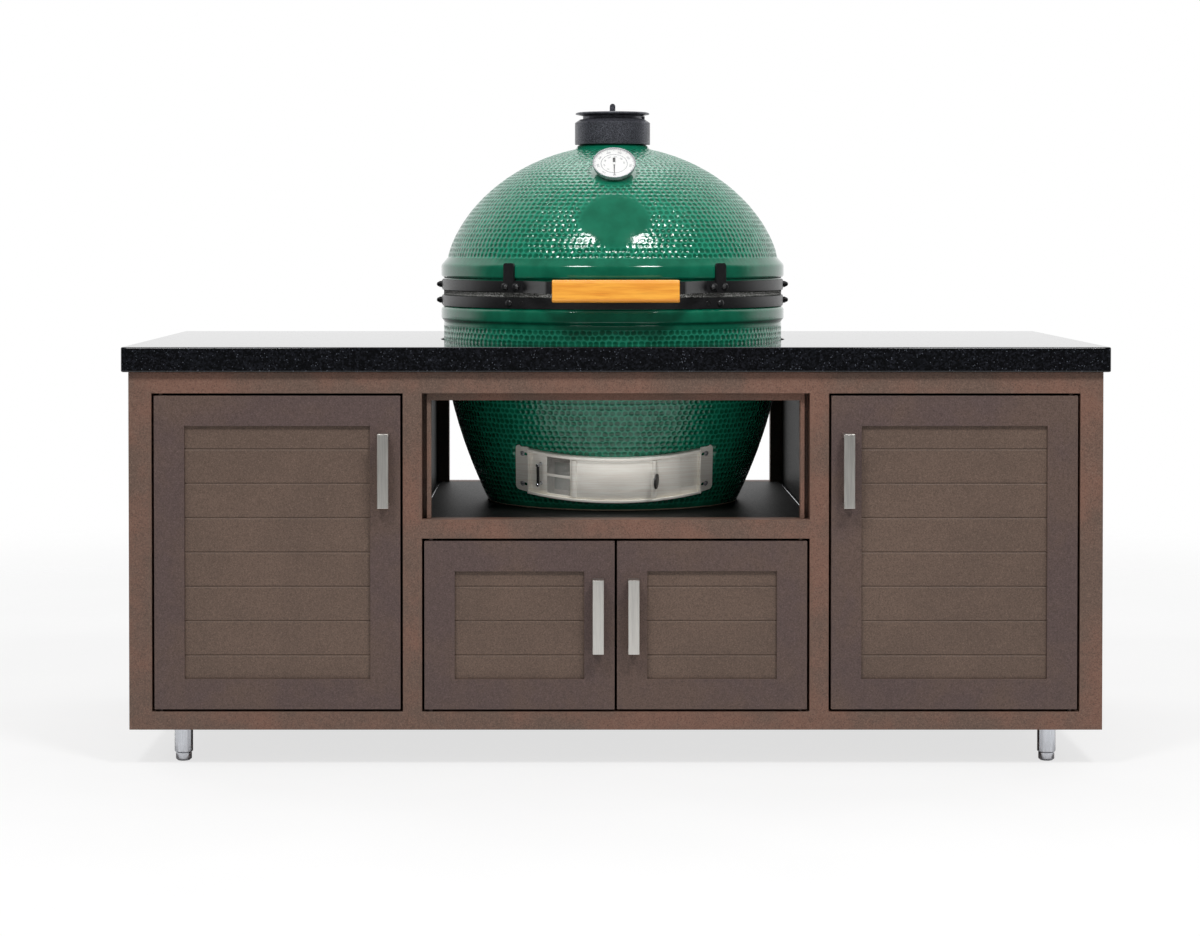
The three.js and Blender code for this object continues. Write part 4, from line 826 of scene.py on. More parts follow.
class Pits:
    """Rows of pits on a belly. Its outline starts at a row's edge and has its points BELLY_STEP apart."""

    def __init__(self, belly, fade):
        self.belly = belly
        self.fade = fade
        self.rows = (len(belly) - 1) // 3
        middles = [belly[3 * row:3 * row + 4, 0].mean() for row in range(self.rows)]
        self.counts = np.array([max(12, round(TURN * radius / PIT_PITCH)) for radius in middles])
        self.staggers = np.array([0.5 * (row % 2) + 0.13 * math.sin(2.3 * row) for row in range(self.rows)])

    def round_share(self, row, columns):
        return columns / SHELL_COLUMNS * self.counts[row] + self.staggers[row]

    def depths(self):
        columns = np.arange(SHELL_COLUMNS)
        depth = np.zeros((len(self.belly), SHELL_COLUMNS))
        for row in range(self.rows):
            share = self.round_share(row, columns)
            sideways = (share - np.round(share)) * PIT_PITCH / PIT_WIDE
            uneven = 0.8 + 0.4 * scattered(np.round(share), row)
            for step in range(4):
                upward = (step / 3 - 0.5) * PIT_ROW / PIT_HIGH * (PIT_EDGE if step in (0, 3) else 1)
                pushed = np.clip(1 - sideways ** 2 - upward ** 2, 0, 1) * uneven
                depth[3 * row + step] = np.maximum(depth[3 * row + step], pushed)
        depth[0] = depth[-1] = 0
        return depth

    def store(self, mesh, first, glazed):
        """Writes pit_place on each corner. The belly's rows start at first, and the glaze ends at glazed."""
        def read(items, name):
            values = np.empty(len(items), int)
            items.foreach_get(name, values)
            return values

        def over_face(pick, values):
            return np.repeat(pick.reduceat(values, starts), sizes)

        starts, sizes = (read(mesh.polygons, name) for name in ("loop_start", "loop_total"))
        mesh_row, column = np.divmod(read(mesh.loops, "vertex_index"), SHELL_COLUMNS)
        lowest, highest = over_face(np.minimum, mesh_row), over_face(np.maximum, mesh_row)
        row = np.clip((lowest - first) // 3, 0, self.rows - 1)
        inside = (lowest >= first) & (lowest < first + 3 * self.rows)
        full = self.fade[np.clip(mesh_row - first, 0, len(self.fade) - 1), column]
        seam = (over_face(np.maximum, column) == SHELL_COLUMNS - 1) & (column == 0)
        places = np.zeros((len(column), 3), np.float32)
        places[:, 0] = self.round_share(row, np.where(seam, SHELL_COLUMNS, column))
        places[:, 1] = (mesh_row - first) / 3 - row - 0.5
        places[:, 2] = inside * full
        closes_outline = highest - lowest > 1
        places[(lowest >= glazed) | closes_outline, 2] = -1
        mesh.attributes.new("pit_place", "FLOAT_VECTOR", "CORNER").data.foreach_set("vector", places.ravel())


def pitted(name, outline, first, last, glazed, fade):
    """Turns an outline and pushes its rows from first to last into pits. fade is 1 where pits are full."""
    points, faces = turned(outline, SHELL_COLUMNS)
    belly = np.array(outline[first:last], float)
    slope = np.gradient(belly, axis=0)
    slope /= np.linalg.norm(slope, axis=1)[:, None]
    normal = np.stack([slope[:, 1], -slope[:, 0]], axis=1)
    if normal[:, 0].mean() < 0:
        normal = -normal
    rows = points[first:last]
    pits = Pits(belly, fade(rows[:, :, 0], rows[:, :, 1] - AXIS_Y, rows[:, :, 2]))
    depth = pits.depths() * PIT_DEPTH * pits.fade
    angles = np.arange(SHELL_COLUMNS) * TURN / SHELL_COLUMNS
    rows[:, :, 0] -= depth * normal[:, :1] * np.sin(angles)
    rows[:, :, 1] += depth * normal[:, :1] * np.cos(angles)
    rows[:, :, 2] -= depth * normal[:, 1:]
    mesh = mesh_of(name, points.reshape(-1, 3), faces)
    pits.store(mesh, first, glazed)
    return points, mesh


def smoothed(value, low, high):
    t = np.clip((value - low) / (high - low), 0, 1)
    return t * t * (3 - 2 * t)


# %% [markdown]
# ### The base
# The base stands on the shelf like a deep bowl. Its rim is a smooth glossy hoop above a slight recess, and
# over it comes the step that the steel band sits on. Where the draft door's frame is screwed on, the wall
# is pressed in to the frame's own curve, and a hole behind the frame leads to the fire.

# %% Base shell
BASE_FOOT, BASE_TOP = heights_of("base_shell")
HOOP_RADIUS, STEP_RADIUS, BELLY_RADIUS, MOUTH_RADIUS = 346, 340.7, 341, 308
CLAY_FLOOR = BASE_FOOT + 30
DRAFT_LEAN = math.radians(16)
DRAFT_RADIUS, DRAFT_HEIGHT, DRAFT_CENTRE = 284, 92, 530
POCKET_HALF_TURN, POCKET_SIDE_GAP, POCKET_DEPTH = 42.6, 0.5, 0.4
HOLE_HALF_WIDTH, HOLE_LOW, HOLE_HIGH = 75, 504, 560
HOLE_FRONT, HOLE_BACK = -330, -200


def base_outline():
    curve = bezier([(253, BASE_FOOT + 3), (BELLY_RADIUS, 656), (BELLY_RADIUS, 800)], 60)
    belly, end = stepped(curve + [(BELLY_RADIUS, 800), (BELLY_RADIUS, 822)], BELLY_STEP)
    shoulder = rounded([end, (BELLY_RADIUS, 828), (HOOP_RADIUS, 832.6), (HOOP_RADIUS, 852.6),
                        (STEP_RADIUS, 858), (STEP_RADIUS, BASE_TOP), (MOUTH_RADIUS, BASE_TOP),
                        (MOUTH_RADIUS, 800)], [0, 3, 2.5, 3, 1.5, 1.5, 1.5, 6])
    inside = bezier([(MOUTH_RADIUS, 800), (311, 656), (223, CLAY_FLOOR)], 12)
    foot = [(0.01, CLAY_FLOOR), (0.01, BASE_FOOT), (250, BASE_FOOT), (252.2, BASE_FOOT + 0.8)]
    outline = [tuple(p) for p in belly] + shoulder + inside[1:] + foot
    return outline, len(belly), len(belly) + len(shoulder) - 5


def base_mesh():
    outline, belly, glazed = base_outline()
    points, mesh = pitted("base", outline, 0, belly, glazed, lambda x, y, z: smoothed(z, 472, 480))
    lean = Matrix.Rotation(DRAFT_LEAN, 3, "X")
    back = DRAFT_RADIUS * (math.cos(DRAFT_LEAN) - 1)
    middle = np.array([0, back + AXIS_Y, DRAFT_CENTRE + DRAFT_RADIUS * math.sin(DRAFT_LEAN)])
    axis = np.array(lean @ Vector((0, 0, 1)))
    side = np.array(lean @ Vector((0, -1, 0)))
    rows = points[:belly]
    away = rows - middle
    along = away @ axis
    flat = away - along[..., None] * axis
    reach = np.linalg.norm(flat, axis=-1)
    turn = np.degrees(np.arctan2(flat[..., 0], flat @ side))
    floor = DRAFT_RADIUS - POCKET_DEPTH
    beside = (np.abs(turn) < POCKET_HALF_TURN) & (np.abs(along) < DRAFT_HEIGHT / 2 + POCKET_SIDE_GAP)
    in_pocket = beside & (reach > floor)
    pushed = middle + along[..., None] * axis + flat / reach[..., None] * floor
    rows[in_pocket] = pushed[in_pocket]
    mesh.vertices.foreach_set("co", (points * MM).ravel())
    thing = loose_thing(mesh)
    corners = [(-HOLE_HALF_WIDTH, HOLE_FRONT), (HOLE_HALF_WIDTH, HOLE_FRONT),
               (HOLE_HALF_WIDTH, HOLE_BACK), (-HOLE_HALF_WIDTH, HOLE_BACK)]
    block = loose_thing(mesh_of("hole", *plate(corners, HOLE_LOW, HOLE_HIGH)))
    cutter = thing.modifiers.new("hole", "BOOLEAN")
    cutter.operation = "DIFFERENCE"
    cutter.object = block
    cutter.solver = "EXACT"
    mesh = baked(thing)
    bpy.data.objects.remove(block)
    return mesh


piece("ceramic_base", base_mesh(), green_glaze, "cabinet", ("base_shell",), crease=60)
print("base", len(made[-1].data.polygons), "faces")

# %% [markdown]
# ### The dome
# The dome has the same hoop at its mouth, and ends above in a short chimney. A smooth patch lies round the
# thermometer and another on the front of the crown, and the pits fade out at both.

# %% Dome shell
DOME_MOUTH, DOME_TOP = heights_of("dome_shell")
CROWN_EDGE, CROWN_TOP = (333, 955), (76, 1173)
CHIMNEY_OUTER, CHIMNEY_INNER = 66, 55
DIAL_FRONT, DIAL_HEIGHT = -211, 1141.5
DIAL_CLEAR, DIAL_FADED, DIAL_PATCH_DROP = 44, 54, 6
PATCH_HEIGHT, PATCH_HALF_WIDTH, PATCH_HALF_HEIGHT = 1026, 66, 50


def dome_fade(x, y, z):
    to_dial = np.sqrt(x ** 2 + (y - DIAL_FRONT) ** 2 + (z - DIAL_HEIGHT + DIAL_PATCH_DROP) ** 2)
    to_patch = np.sqrt((x / PATCH_HALF_WIDTH) ** 2 + ((z - PATCH_HEIGHT) / PATCH_HALF_HEIGHT) ** 2)
    in_front = np.where(y < 0, smoothed(to_patch, 0.8, 1.3), 1)
    return smoothed(to_dial, DIAL_CLEAR, DIAL_FADED) * in_front


def dome_mesh():
    mouth = rounded([(MOUTH_RADIUS, DOME_MOUTH), (STEP_RADIUS, DOME_MOUTH), (STEP_RADIUS, 914.2),
                     (HOOP_RADIUS, 917.7), (HOOP_RADIUS, 940.3), CROWN_EDGE], [1.5, 1.5, 1.5, 2.5, 4, 0])
    crown, end = stepped(bezier([CROWN_EDGE, (318, 1028), (232, 1140), CROWN_TOP], 90), BELLY_STEP)
    neck = rounded([CROWN_TOP, (71, 1179.3), (CHIMNEY_OUTER, 1182.5), (CHIMNEY_OUTER, DOME_TOP),
                    (CHIMNEY_INNER, DOME_TOP), (CHIMNEY_INNER, 1143)], [0, 2, 1, 1, 1, 0])
    inside = bezier([(CHIMNEY_INNER, 1143), (202, 1110), (288, 1028), (MOUTH_RADIUS, 940.3)], 14)
    outline = mouth[:-1] + [tuple(p) for p in crown] + neck + inside[1:]
    first = len(mouth) - 1
    last = first + len(crown)
    return pitted("dome", outline, first, last, last + len(neck) - 2, dome_fade)[1]


piece("ceramic_dome", dome_mesh(), green_glaze, "dome", ("dome_shell",), crease=60)
print("dome", len(made[-1].data.polygons), "faces")

# %% [markdown]
# ## Gaskets and bands
# Two felt rings seal the mouths. Round each mouth runs a steel band that holds the ceramic and carries the
# hinge and the handle. A domed nut closes each band at both sides, bolts sit beside the handle's arms, and
# the lower band has a hole next to each bolt. The inside of each hole is a black disc of painted shade.

# %% Gaskets
RIM_COLUMNS = 180
GASKET_OUTER = 341
for node in ("base_gasket", "dome_gasket"):
    outline = ring_outline(MOUTH_RADIUS, GASKET_OUTER, *heights_of(node))
    mesh = turned_mesh(node, outline, RIM_COLUMNS, ease=1.3)
    piece("felt_" + node, mesh, grey_felt, nodes[node]["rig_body"], (node,))
print("felt rings", MOUTH_RADIUS, "to", GASKET_OUTER, "mm from the axis")

# %% Bands with their nuts and bolts
BAND_INNER, BAND_OUTER = 341, 344
LOWER_BAND, UPPER_BAND = heights_of("lower_band"), heights_of("upper_band")
BOLT_TURN, HOLE_TURN, NUT_TURN = 36.2, 31.5, 90


def domed(radius, height, shares):
    """The profile of a domed head; shares of its radius and height lead from the wall to the tip."""
    return [(radius, -1)] + [(wide * radius, high * height) for wide, high in shares] + [(0.05, height)]


BOLT_HEAD = domed(7.5, 5, ((1, 0.25), (0.93, 0.5), (0.72, 0.8), (0.4, 0.96)))
ACORN_NUT = domed(6.5, 12, ((1, 0.45), (0.8, 0.62), (0.62, 0.85), (0.3, 0.97)))
WASHER = [(8.5, -1), (8.5, 1.2), (7.6, 1.7), (0.05, 1.7)]
HOLE_RING = [(5.2, -1), (5.2, 0.5), (4.7, 0.9), (3.7, 0.9), (3.5, 0.5), (3.5, -1)]
HOLE_SHADE_DISC = [(3.6, -0.5), (3.6, 0.15), (0.05, 0.15)]


def band_parts(low, high):
    outline = rounded(ring_outline(BAND_INNER, BAND_OUTER, low, high), 0.8)
    parts = [turned(outline, 2 * RIM_COLUMNS)]
    for side in (-1, 1):
        spot = on_wall(BAND_OUTER, side * NUT_TURN, (low + high) / 2)
        parts += [knob(ACORN_NUT, *spot, sides=6), knob(WASHER, *spot)]
    return parts


lower_parts = band_parts(*LOWER_BAND)
middle = sum(LOWER_BAND) / 2
for side in (-1, 1):
    lower_parts.append(knob(BOLT_HEAD, *on_wall(BAND_OUTER, side * BOLT_TURN, middle)))
    points, faces = knob(HOLE_RING, *on_wall(BAND_OUTER, side * HOLE_TURN, middle))
    lower_parts.append((points, faces[:-2]))
built("steel_lower_band", black_band, "cabinet", *lower_parts, replaced=("lower_band",))
built("steel_upper_band", black_band, "dome", *band_parts(*UPPER_BAND), replaced=("upper_band",))
# Painted shade: each hole is filled by a black disc inside its raised ring, for the shade in the hole.
for side, name in ((-1, "left"), (1, "right")):
    hole = knob(HOLE_SHADE_DISC, *on_wall(BAND_OUTER, side * HOLE_TURN, middle))
    built(name + "_band_hole_painted_shade", black_paint, "cabinet", hole, slot="black_band")
print("bands", [len(o.data.polygons) for o in made[-4:-2]], "faces")

# %% [markdown]
# ## The hinge and its springs
# Two curved plates on the bands carry ears, and the ears turn round one pin. A spring is wound round the
# pin on each side. A spring is a line before it is a wire: the line runs along a leg, round seven curls and
# out along the other leg, and the wire's round section is swept along it.

# %% Hinge plates
for node in ("lower_hinge_bracket", "upper_hinge_bracket"):
    eased(node, black_band, 0.8)
print("hinge plates", [thing.name for thing in made[-2:]])

# %% Springs
PIN_BACK, PIN_HEIGHT = 386, 886
WIRE, COIL, CURLS, SPRING_PITCH = 2.4, 12, 7, 7
SPRING_ASIDE = 33
PLATE_OUTER, LEG_GAP = 349.3, 0.3
CURL_STEPS = 28


def leg_reach(x):
    """How far a leg may run forward from the pin before it meets the hinge plate."""
    return PIN_BACK - math.sqrt(PLATE_OUTER ** 2 - (abs(x) - WIRE) ** 2) - LEG_GAP


def spring_path(centre):
    half = CURLS * SPRING_PITCH / 2
    low = leg_reach(centre - half)
    path = [(-half, y, -COIL) for y in np.linspace(-low, -1, 10)]
    for i in range(CURLS * CURL_STEPS + CURL_STEPS // 2 + 1):
        a = TURN * i / CURL_STEPS - math.pi / 2
        path.append((-half + SPRING_PITCH * i / CURL_STEPS, COIL * math.cos(a), COIL * math.sin(a)))
    end = half + SPRING_PITCH / 2
    high = leg_reach(centre + end) - 3
    path.extend((end, y, COIL) for y in np.linspace(-1, -high, 10))
    return np.array(path) + np.array([centre, PIN_BACK + AXIS_Y, PIN_HEIGHT])


for name, centre in (("left", -SPRING_ASIDE), ("right", SPRING_ASIDE)):
    wire = swept(spring_path(centre), circle(WIRE))
    built(name + "_wound_spring", spring_steel, "cabinet", wire, replaced=(name + "_hinge_spring",))
print("springs", len(made[-1].data.polygons), "faces each")

# %% [markdown]
# ## The handle
# Two black arms leave the upper band and run forward to a wooden bar. The arms keep their node's shape. The
# bar is planed to soft corners and lies between the arms' end blocks.

# %% Handle
for side in ("left", "right"):
    eased(side + "_handle_arm", black_band, 0.9)
eased("handle_grip", varnished_wood, 2.4, 4, name="wooden_grip", crease=50)
print("handle done, pieces so far", len(made))

# %% [markdown]
# ## The thermometer
# A round steel case stands out of the dome, tilted back so that a standing cook can read it. Its parts are
# turned about the case's own axis first and then carried to their place. The dial has an outer ring of
# numbers near its rim and an inner ring at six tenths of it. Numbers are text objects turned into thin
# meshes.

# %% To the dial's place
DIAL_TILT = math.radians(45.5)
dial_place = (Matrix.Translation(Vector((0, AXIS_Y + DIAL_FRONT, DIAL_HEIGHT)) * MM)
              @ Matrix.Rotation(DIAL_TILT, 4, "X"))


def at_dial(mesh):
    mesh.transform(dial_place)
    return mesh


print("dial at", [round(v / MM, 1) for v in dial_place.translation], "mm")

# %% Case, glass and dial
CASE_COLUMNS = 96
OWN_AXIS = (0, 0)


def dial_part(name, outline, ease, finish, replaced=()):
    mesh = turned_mesh(name, outline, CASE_COLUMNS, ease, OWN_AXIS)
    return piece(name, at_dial(mesh), finish, "dome", replaced)


case = [(0.01, -4), (40.3, -4), (40.3, 0), (42, 0), (42, -3.5), (40.8, -4.5), (40.8, -9), (9, -9),
        (9, -14.5), (4, -14.5), (4, -80), (0.01, -80)]
dial = [(0.01, -3.95), (0.01, -3.6), (40.1, -3.6), (40.1, -3.95)]
glass = [(0.01, -1.5), (0.01, -0.3), (40.1, -0.3), (40.1, -1.5)]
dial_part("thermometer_case", case, 0.5, case_steel, ("thermometer_body",))
dial_part("thermometer_dial", dial, 0.05, dial_white)
dial_part("thermometer_glass", glass, 0.1, dial_glass, ("thermometer_lens",))
print("case, dial and glass", [len(thing.data.polygons) for thing in made[-3:]], "faces")


# %% Print on the dial
PRINT_LOW, PRINT_HIGH = -3.62, -3.5
NUMBER_HEIGHT, NUMBER_HALF = -3.55, 0.05
OUTER_RADIUS, INNER_RADIUS = 38.9, 25.4
OUTER_STEPS, INNER_STEPS = 15, 8


def dial_angle(share):
    """The scale runs clockwise over five sixths of the dial. It starts where the cold pointer rests."""
    return math.radians(180 + 300 * share)


def tick(angle, inner, outer, width):
    across = np.array([math.cos(angle), -math.sin(angle)]) * width / 2
    out = np.array([math.sin(angle), math.cos(angle)])
    corners = [out * inner - across, out * inner + across, out * outer + across, out * outer - across]
    return plate(corners, PRINT_LOW, PRINT_HIGH)


def number(text, angle, radius, size):
    curve = bpy.data.curves.new("number", "FONT")
    curve.body = text
    curve.size = size * MM
    curve.align_x = "CENTER"
    curve.align_y = "CENTER"
    curve.extrude = NUMBER_HALF * MM
    mesh = baked(loose_thing(curve))
    place = Vector((radius * math.sin(angle), radius * math.cos(angle), NUMBER_HEIGHT)) * MM
    mesh.transform(Matrix.Translation(place) @ Matrix.Rotation(-angle, 4, "Z"))
    return mesh


def joined(meshes):
    shape = bmesh.new()
    for mesh in meshes:
        shape.from_mesh(mesh)
    whole = bpy.data.meshes.new("joined")
    shape.to_mesh(whole)
    shape.free()
    return whole


def tick_ring(steps, radius, long, short, wide, thin):
    """Five ticks to a step, and the one on the step itself is longer and wider."""
    count = 5 * steps
    ring = []
    for i in range(count + 1):
        length, width = (short, thin) if i % 5 else (long, wide)
        ring.append(tick(dial_angle(i / count), radius - length, radius, width))
    return ring


ticks = tick_ring(OUTER_STEPS, OUTER_RADIUS, 2.7, 1.3, 0.8, 0.35)
ticks += tick_ring(INNER_STEPS, INNER_RADIUS, 2.0, 1.0, 0.35, 0.35)
ticks.append(turned(ring_outline(25.3, 26.0, PRINT_LOW, PRINT_HIGH), CASE_COLUMNS, OWN_AXIS))
labels = []
for i in range(0, OUTER_STEPS + 1, 2):
    labels.append(number(str(50 * (i + 1)), dial_angle(i / OUTER_STEPS), 31.6, 5.6))
for i in range(1, INNER_STEPS):
    labels.append(number(str(50 * i), dial_angle(i / INNER_STEPS), 19.2, 4.4))
printed = joined([mesh_of("ticks", *together(*ticks))] + labels)
piece("dial_print", at_dial(printed), grey_ink, "dome")
print("dial print", len(printed.polygons), "faces")

# %% Pointer
POINTER_LOW, POINTER_HIGH = -3.3, -2.7


def flat_bar(y0, y1, w0, w1):
    corners = [(-w0 / 2, y0), (w0 / 2, y0), (w1 / 2, y1), (-w1 / 2, y1)]
    return plate(corners, POINTER_LOW, POINTER_HIGH)


hub_profile = [(3, POINTER_LOW - 0.2), (3, POINTER_HIGH + 0.2), (2.4, POINTER_HIGH + 0.5),
               (0.05, POINTER_HIGH + 0.6)]
hub = knob(hub_profile, (0, 0, 0), (0, 0, 1))
pointer = together(flat_bar(0, -31, 2.6, 0.9), flat_bar(2, 16, 4.8, 5.2))
piece("thermometer_pointer", at_dial(mesh_of("pointer", *pointer)), black_paint, "needle",
      ("thermometer_needle",))
piece("pointer_hub", at_dial(mesh_of("hub", *hub)), dial_white, "needle")
print("thermometer done, pieces so far", len(made))

# %% [markdown]
# ## The chimney cap
# A cast collar sits on the chimney. A lid with five ports lies on it and swings aside, and a damper with a
# tab turns on the lid. Castings have soft corners, and the collar's are the widest.

# %% Cap
eased("cap_collar", cast_iron, 1.3, 3, crease=40)
eased("cap_lid", cast_iron, 0.7)
eased("cap_damper", cast_iron, 0.8)
print("cap done, pieces so far", len(made))

# %% [markdown]
# ## The draft door
# Air comes in low at the front. A curved steel frame is screwed over the hole in the base, with a rolled
# lip above and below. In it slide a screen, with two windows of woven wire and a dark grip, and a plain
# door with an oval knob. All of these are bent round one axis that leans back by 16 degrees, like the wall
# behind. They are built upright round a circle first, and one function leans them into place.

# %% Sheets bent round the leaning axis
SHEET = 1.6
SLIDE_GAP = 0.9
SCREEN_IN = DRAFT_RADIUS + SHEET + SLIDE_GAP
SCREEN_OUT = SCREEN_IN + SHEET
DOOR_IN = SCREEN_OUT + SLIDE_GAP
DOOR_OUT = DOOR_IN + SHEET
LIP, LIP_HEM = DRAFT_RADIUS + 10, 6
SLIDER_HALF = 44.1


def at_draft(part):
    points, faces = part
    cos, sin = math.cos(DRAFT_LEAN), math.sin(DRAFT_LEAN)
    back = DRAFT_RADIUS * (cos - 1)
    up = DRAFT_CENTRE + DRAFT_RADIUS * sin
    leaned = [(x, y * cos - z * sin + back + AXIS_Y, y * sin + z * cos + up) for x, y, z in points]
    return leaned, faces


def bent(section, start, end, ease=0.0):
    """A section of (radius, height) swept round the axis between two angles."""
    section = rounded(section, ease, 2) if ease else section
    steps = max(1, round(abs(end - start) / 1.2))
    angles = np.radians(np.linspace(start, end, steps + 1))
    points = [(r * math.sin(a), -r * math.cos(a), h) for a in angles for r, h in section]
    return points, tube_faces(len(angles), len(section))


def strip(inner, low, high, start, end, thickness=SHEET):
    return bent(ring_outline(inner, inner + thickness, low, high), start, end, 0.35)


def on_sheet(profile, radius, angle, height):
    """A small turned piece that stands out of a bent sheet."""
    return knob(profile, *on_wall(radius, angle, height, axis_y=0))


def draft_piece(name, finish, body, *parts, replaced=(), slot=None):
    return piece(name, mesh_of(name, *at_draft(together(*parts))), finish, body, replaced)


# %% The frame with its flanges, slots and screws
FRAME_TURN, FRAME_HALF = 35, DRAFT_HEIGHT / 2
WINDOW_TURN, WINDOW_HALF = 24, 28
FLANGE_TURN, FLANGE_WIDE = 38.5, 7
SCREW_HEIGHT = 31
SCREW_HEAD = [(5, -0.5), (5, 0.6), (4.4, 1.9), (3, 2.7), (0.05, 3)]
SLOT_HALF, SLOT_OUT = 3.6, 2.6


def sheet_with_slots(outline, slots, thickness):
    """A flat sheet in XY inside an outline; its slots are (x, y, half length, radius)."""
    curve = bpy.data.curves.new("sheet", "CURVE")
    curve.dimensions = "2D"
    curve.fill_mode = "BOTH"
    curve.extrude = thickness / 2 * MM
    loops = [outline]
    half_turn = np.linspace(-math.pi / 2, math.pi / 2, 7)
    for x, y, half, radius in slots:
        ends = [(side * half, t + (side < 0) * math.pi) for side in (1, -1) for t in half_turn]
        loops.append([(x + shift + radius * math.cos(t), y + radius * math.sin(t)) for shift, t in ends])
    for loop in loops:
        spline = curve.splines.new("POLY")
        spline.points.add(len(loop) - 1)
        for point, (x, y) in zip(spline.points, loop):
            point.co = (x * MM, y * MM, 0, 1)
        spline.use_cyclic_u = True
    return baked(loose_thing(curve))


def flange(side):
    """The flat end of the frame beyond its lips, at 35 to 42 degrees."""
    reach = (DRAFT_RADIUS * math.radians(FLANGE_WIDE) + 1) / 2
    outline = rounded(ring_outline(-reach, reach, -FRAME_HALF, FRAME_HALF), [0, 10, 10, 0], 6)
    outline = [(side * x, y) for x, y in outline]
    slots = [(-side * 2, height, 6, 3.2) for height in (-SCREW_HEIGHT, SCREW_HEIGHT)]
    sheet = sheet_with_slots(outline, slots, SHEET)
    points = np.array([v.co for v in sheet.vertices]) / MM
    a = math.radians(side * FLANGE_TURN)
    radius = DRAFT_RADIUS + SHEET / 2 - 0.25
    placed = [(radius * math.sin(a) + x * math.cos(a) + z * math.sin(a),
               -radius * math.cos(a) + x * math.sin(a) - z * math.cos(a), y) for x, y, z in points]
    return placed, [tuple(p.vertices) for p in sheet.polygons]


frame_parts = [strip(DRAFT_RADIUS, WINDOW_HALF, FRAME_HALF, -FRAME_TURN, FRAME_TURN),
               strip(DRAFT_RADIUS, -FRAME_HALF, -WINDOW_HALF, -FRAME_TURN, FRAME_TURN),
               strip(DRAFT_RADIUS, -WINDOW_HALF, WINDOW_HALF, -FRAME_TURN, -WINDOW_TURN),
               strip(DRAFT_RADIUS, -WINDOW_HALF, WINDOW_HALF, WINDOW_TURN, FRAME_TURN)]
for side in (-1, 1):
    edge, sheet_edge, hem = (side * (FRAME_HALF - inset) for inset in (0, SHEET, LIP_HEM))
    lip = [(DRAFT_RADIUS, edge), (LIP, edge), (LIP, hem), (LIP - SHEET, hem), (LIP - SHEET, sheet_edge),
           (DRAFT_RADIUS, sheet_edge)]
    frame_parts.append(bent(rounded(lip, [0, 2.4, 0.6, 0.6, 1.0, 0], 4), -FRAME_TURN, FRAME_TURN))
    cheek = (side * (FRAME_TURN - 0.4), side * FRAME_TURN, LIP - 0.4 - DRAFT_RADIUS)
    frame_parts.append(strip(DRAFT_RADIUS, -FRAME_HALF, FRAME_HALF, *cheek))
    frame_parts.append(flange(side))
draft_piece("draft_frame_sheet", steel_across, "cabinet", *frame_parts, replaced=("draft_frame",))
screws = []
slots = []
for side in (-1, 1):
    for height in (-SCREW_HEIGHT, SCREW_HEIGHT):
        place = (DRAFT_RADIUS + SHEET, side * FLANGE_TURN, height)
        screws.append(on_sheet(SCREW_HEAD, *place))
        (x, y, _), out = on_wall(*place, axis_y=0)
        ends = [(x - t * out[1] + SLOT_OUT * out[0], y + t * out[0] + SLOT_OUT * out[1], height + t / 2)
                for t in (-SLOT_HALF, SLOT_HALF)]
        slots.append(rod(*ends, 0.5, 6))
draft_piece("draft_screws", case_steel, "cabinet", *screws, slot="stainless")
# Painted shade: each screw's slot is a thin black rod laid across its head, for the shade in the groove.
draft_piece("draft_screw_slot_shade", black_paint, "cabinet", *slots, slot="black_band")
print("draft frame", len(made[-3].data.polygons), "faces")

# %% The screen with its woven windows
MESH_LEFT, MESH_RIGHT = -26.9, -17.4
MESH_INNER, MESH_OUTER = 3, 37
WEAVE = 1.7
WEAVE_WIRE = 0.42
SCREEN_START, SCREEN_END = -33, 26
GRIP_TURN, GRIP_OUT = -29.6, 11
GRIP_HEIGHTS = (-22, -21, -18, 18, 21, 22)
GRIP_STUD = [(3.4, -0.5), (3.4, 1.2), (2.6, 1.8), (2.6, 11), (3.4, 12), (3.4, 14), (2.6, 14.8), (0.05, 15)]


def woven(start, end, low, high):
    """Wires up and across that pass over and under each other in turn."""
    middle = (SCREEN_IN + SCREEN_OUT) / 2
    across = max(2, round(math.radians(end - start) * middle / WEAVE))
    rows = max(2, round((high - low) / WEAVE))
    angles = np.radians(np.linspace(start, end, across + 1))
    heights = np.linspace(low, high, rows + 1)
    square = circle(WEAVE_WIRE, 4)

    def crossing(i, j, over):
        radius = middle + over * WEAVE_WIRE * (-1) ** (i + j)
        return radius * math.sin(angles[i]), -radius * math.cos(angles[i]), heights[j]

    upright = [[crossing(i, j, 1) for j in range(rows + 1)] for i in range(across + 1)]
    level = [[crossing(i, j, -1) for i in range(across + 1)] for j in range(rows + 1)]
    return together(*(swept(path, square) for path in upright + level))


screen_parts = [strip(SCREEN_IN, -SLIDER_HALF, SLIDER_HALF, SCREEN_START, MESH_LEFT),
                strip(SCREEN_IN, -SLIDER_HALF, SLIDER_HALF, MESH_RIGHT, SCREEN_END)]
for low, high in ((MESH_OUTER, SLIDER_HALF), (-MESH_INNER, MESH_INNER), (-SLIDER_HALF, -MESH_OUTER)):
    screen_parts.append(strip(SCREEN_IN, low, high, MESH_LEFT, MESH_RIGHT))
draft_piece("draft_screen_sheet", steel_across, "draft_screen", *screen_parts, replaced=("draft_screen",))
weave = [woven(MESH_LEFT, MESH_RIGHT, MESH_INNER, MESH_OUTER),
         woven(MESH_LEFT, MESH_RIGHT, -MESH_OUTER, -MESH_INNER)]
draft_piece("draft_screen_weave", wire_steel, "draft_screen", *weave, slot="stainless")
studs = [on_sheet(GRIP_STUD, SCREEN_OUT, GRIP_TURN, height) for height in (-20, 20)]
draft_piece("screen_grip_studs", chrome, "draft_screen", *studs, slot="stainless")
x, y, _ = on_wall(SCREEN_OUT + GRIP_OUT, GRIP_TURN, 0, axis_y=0)[0]
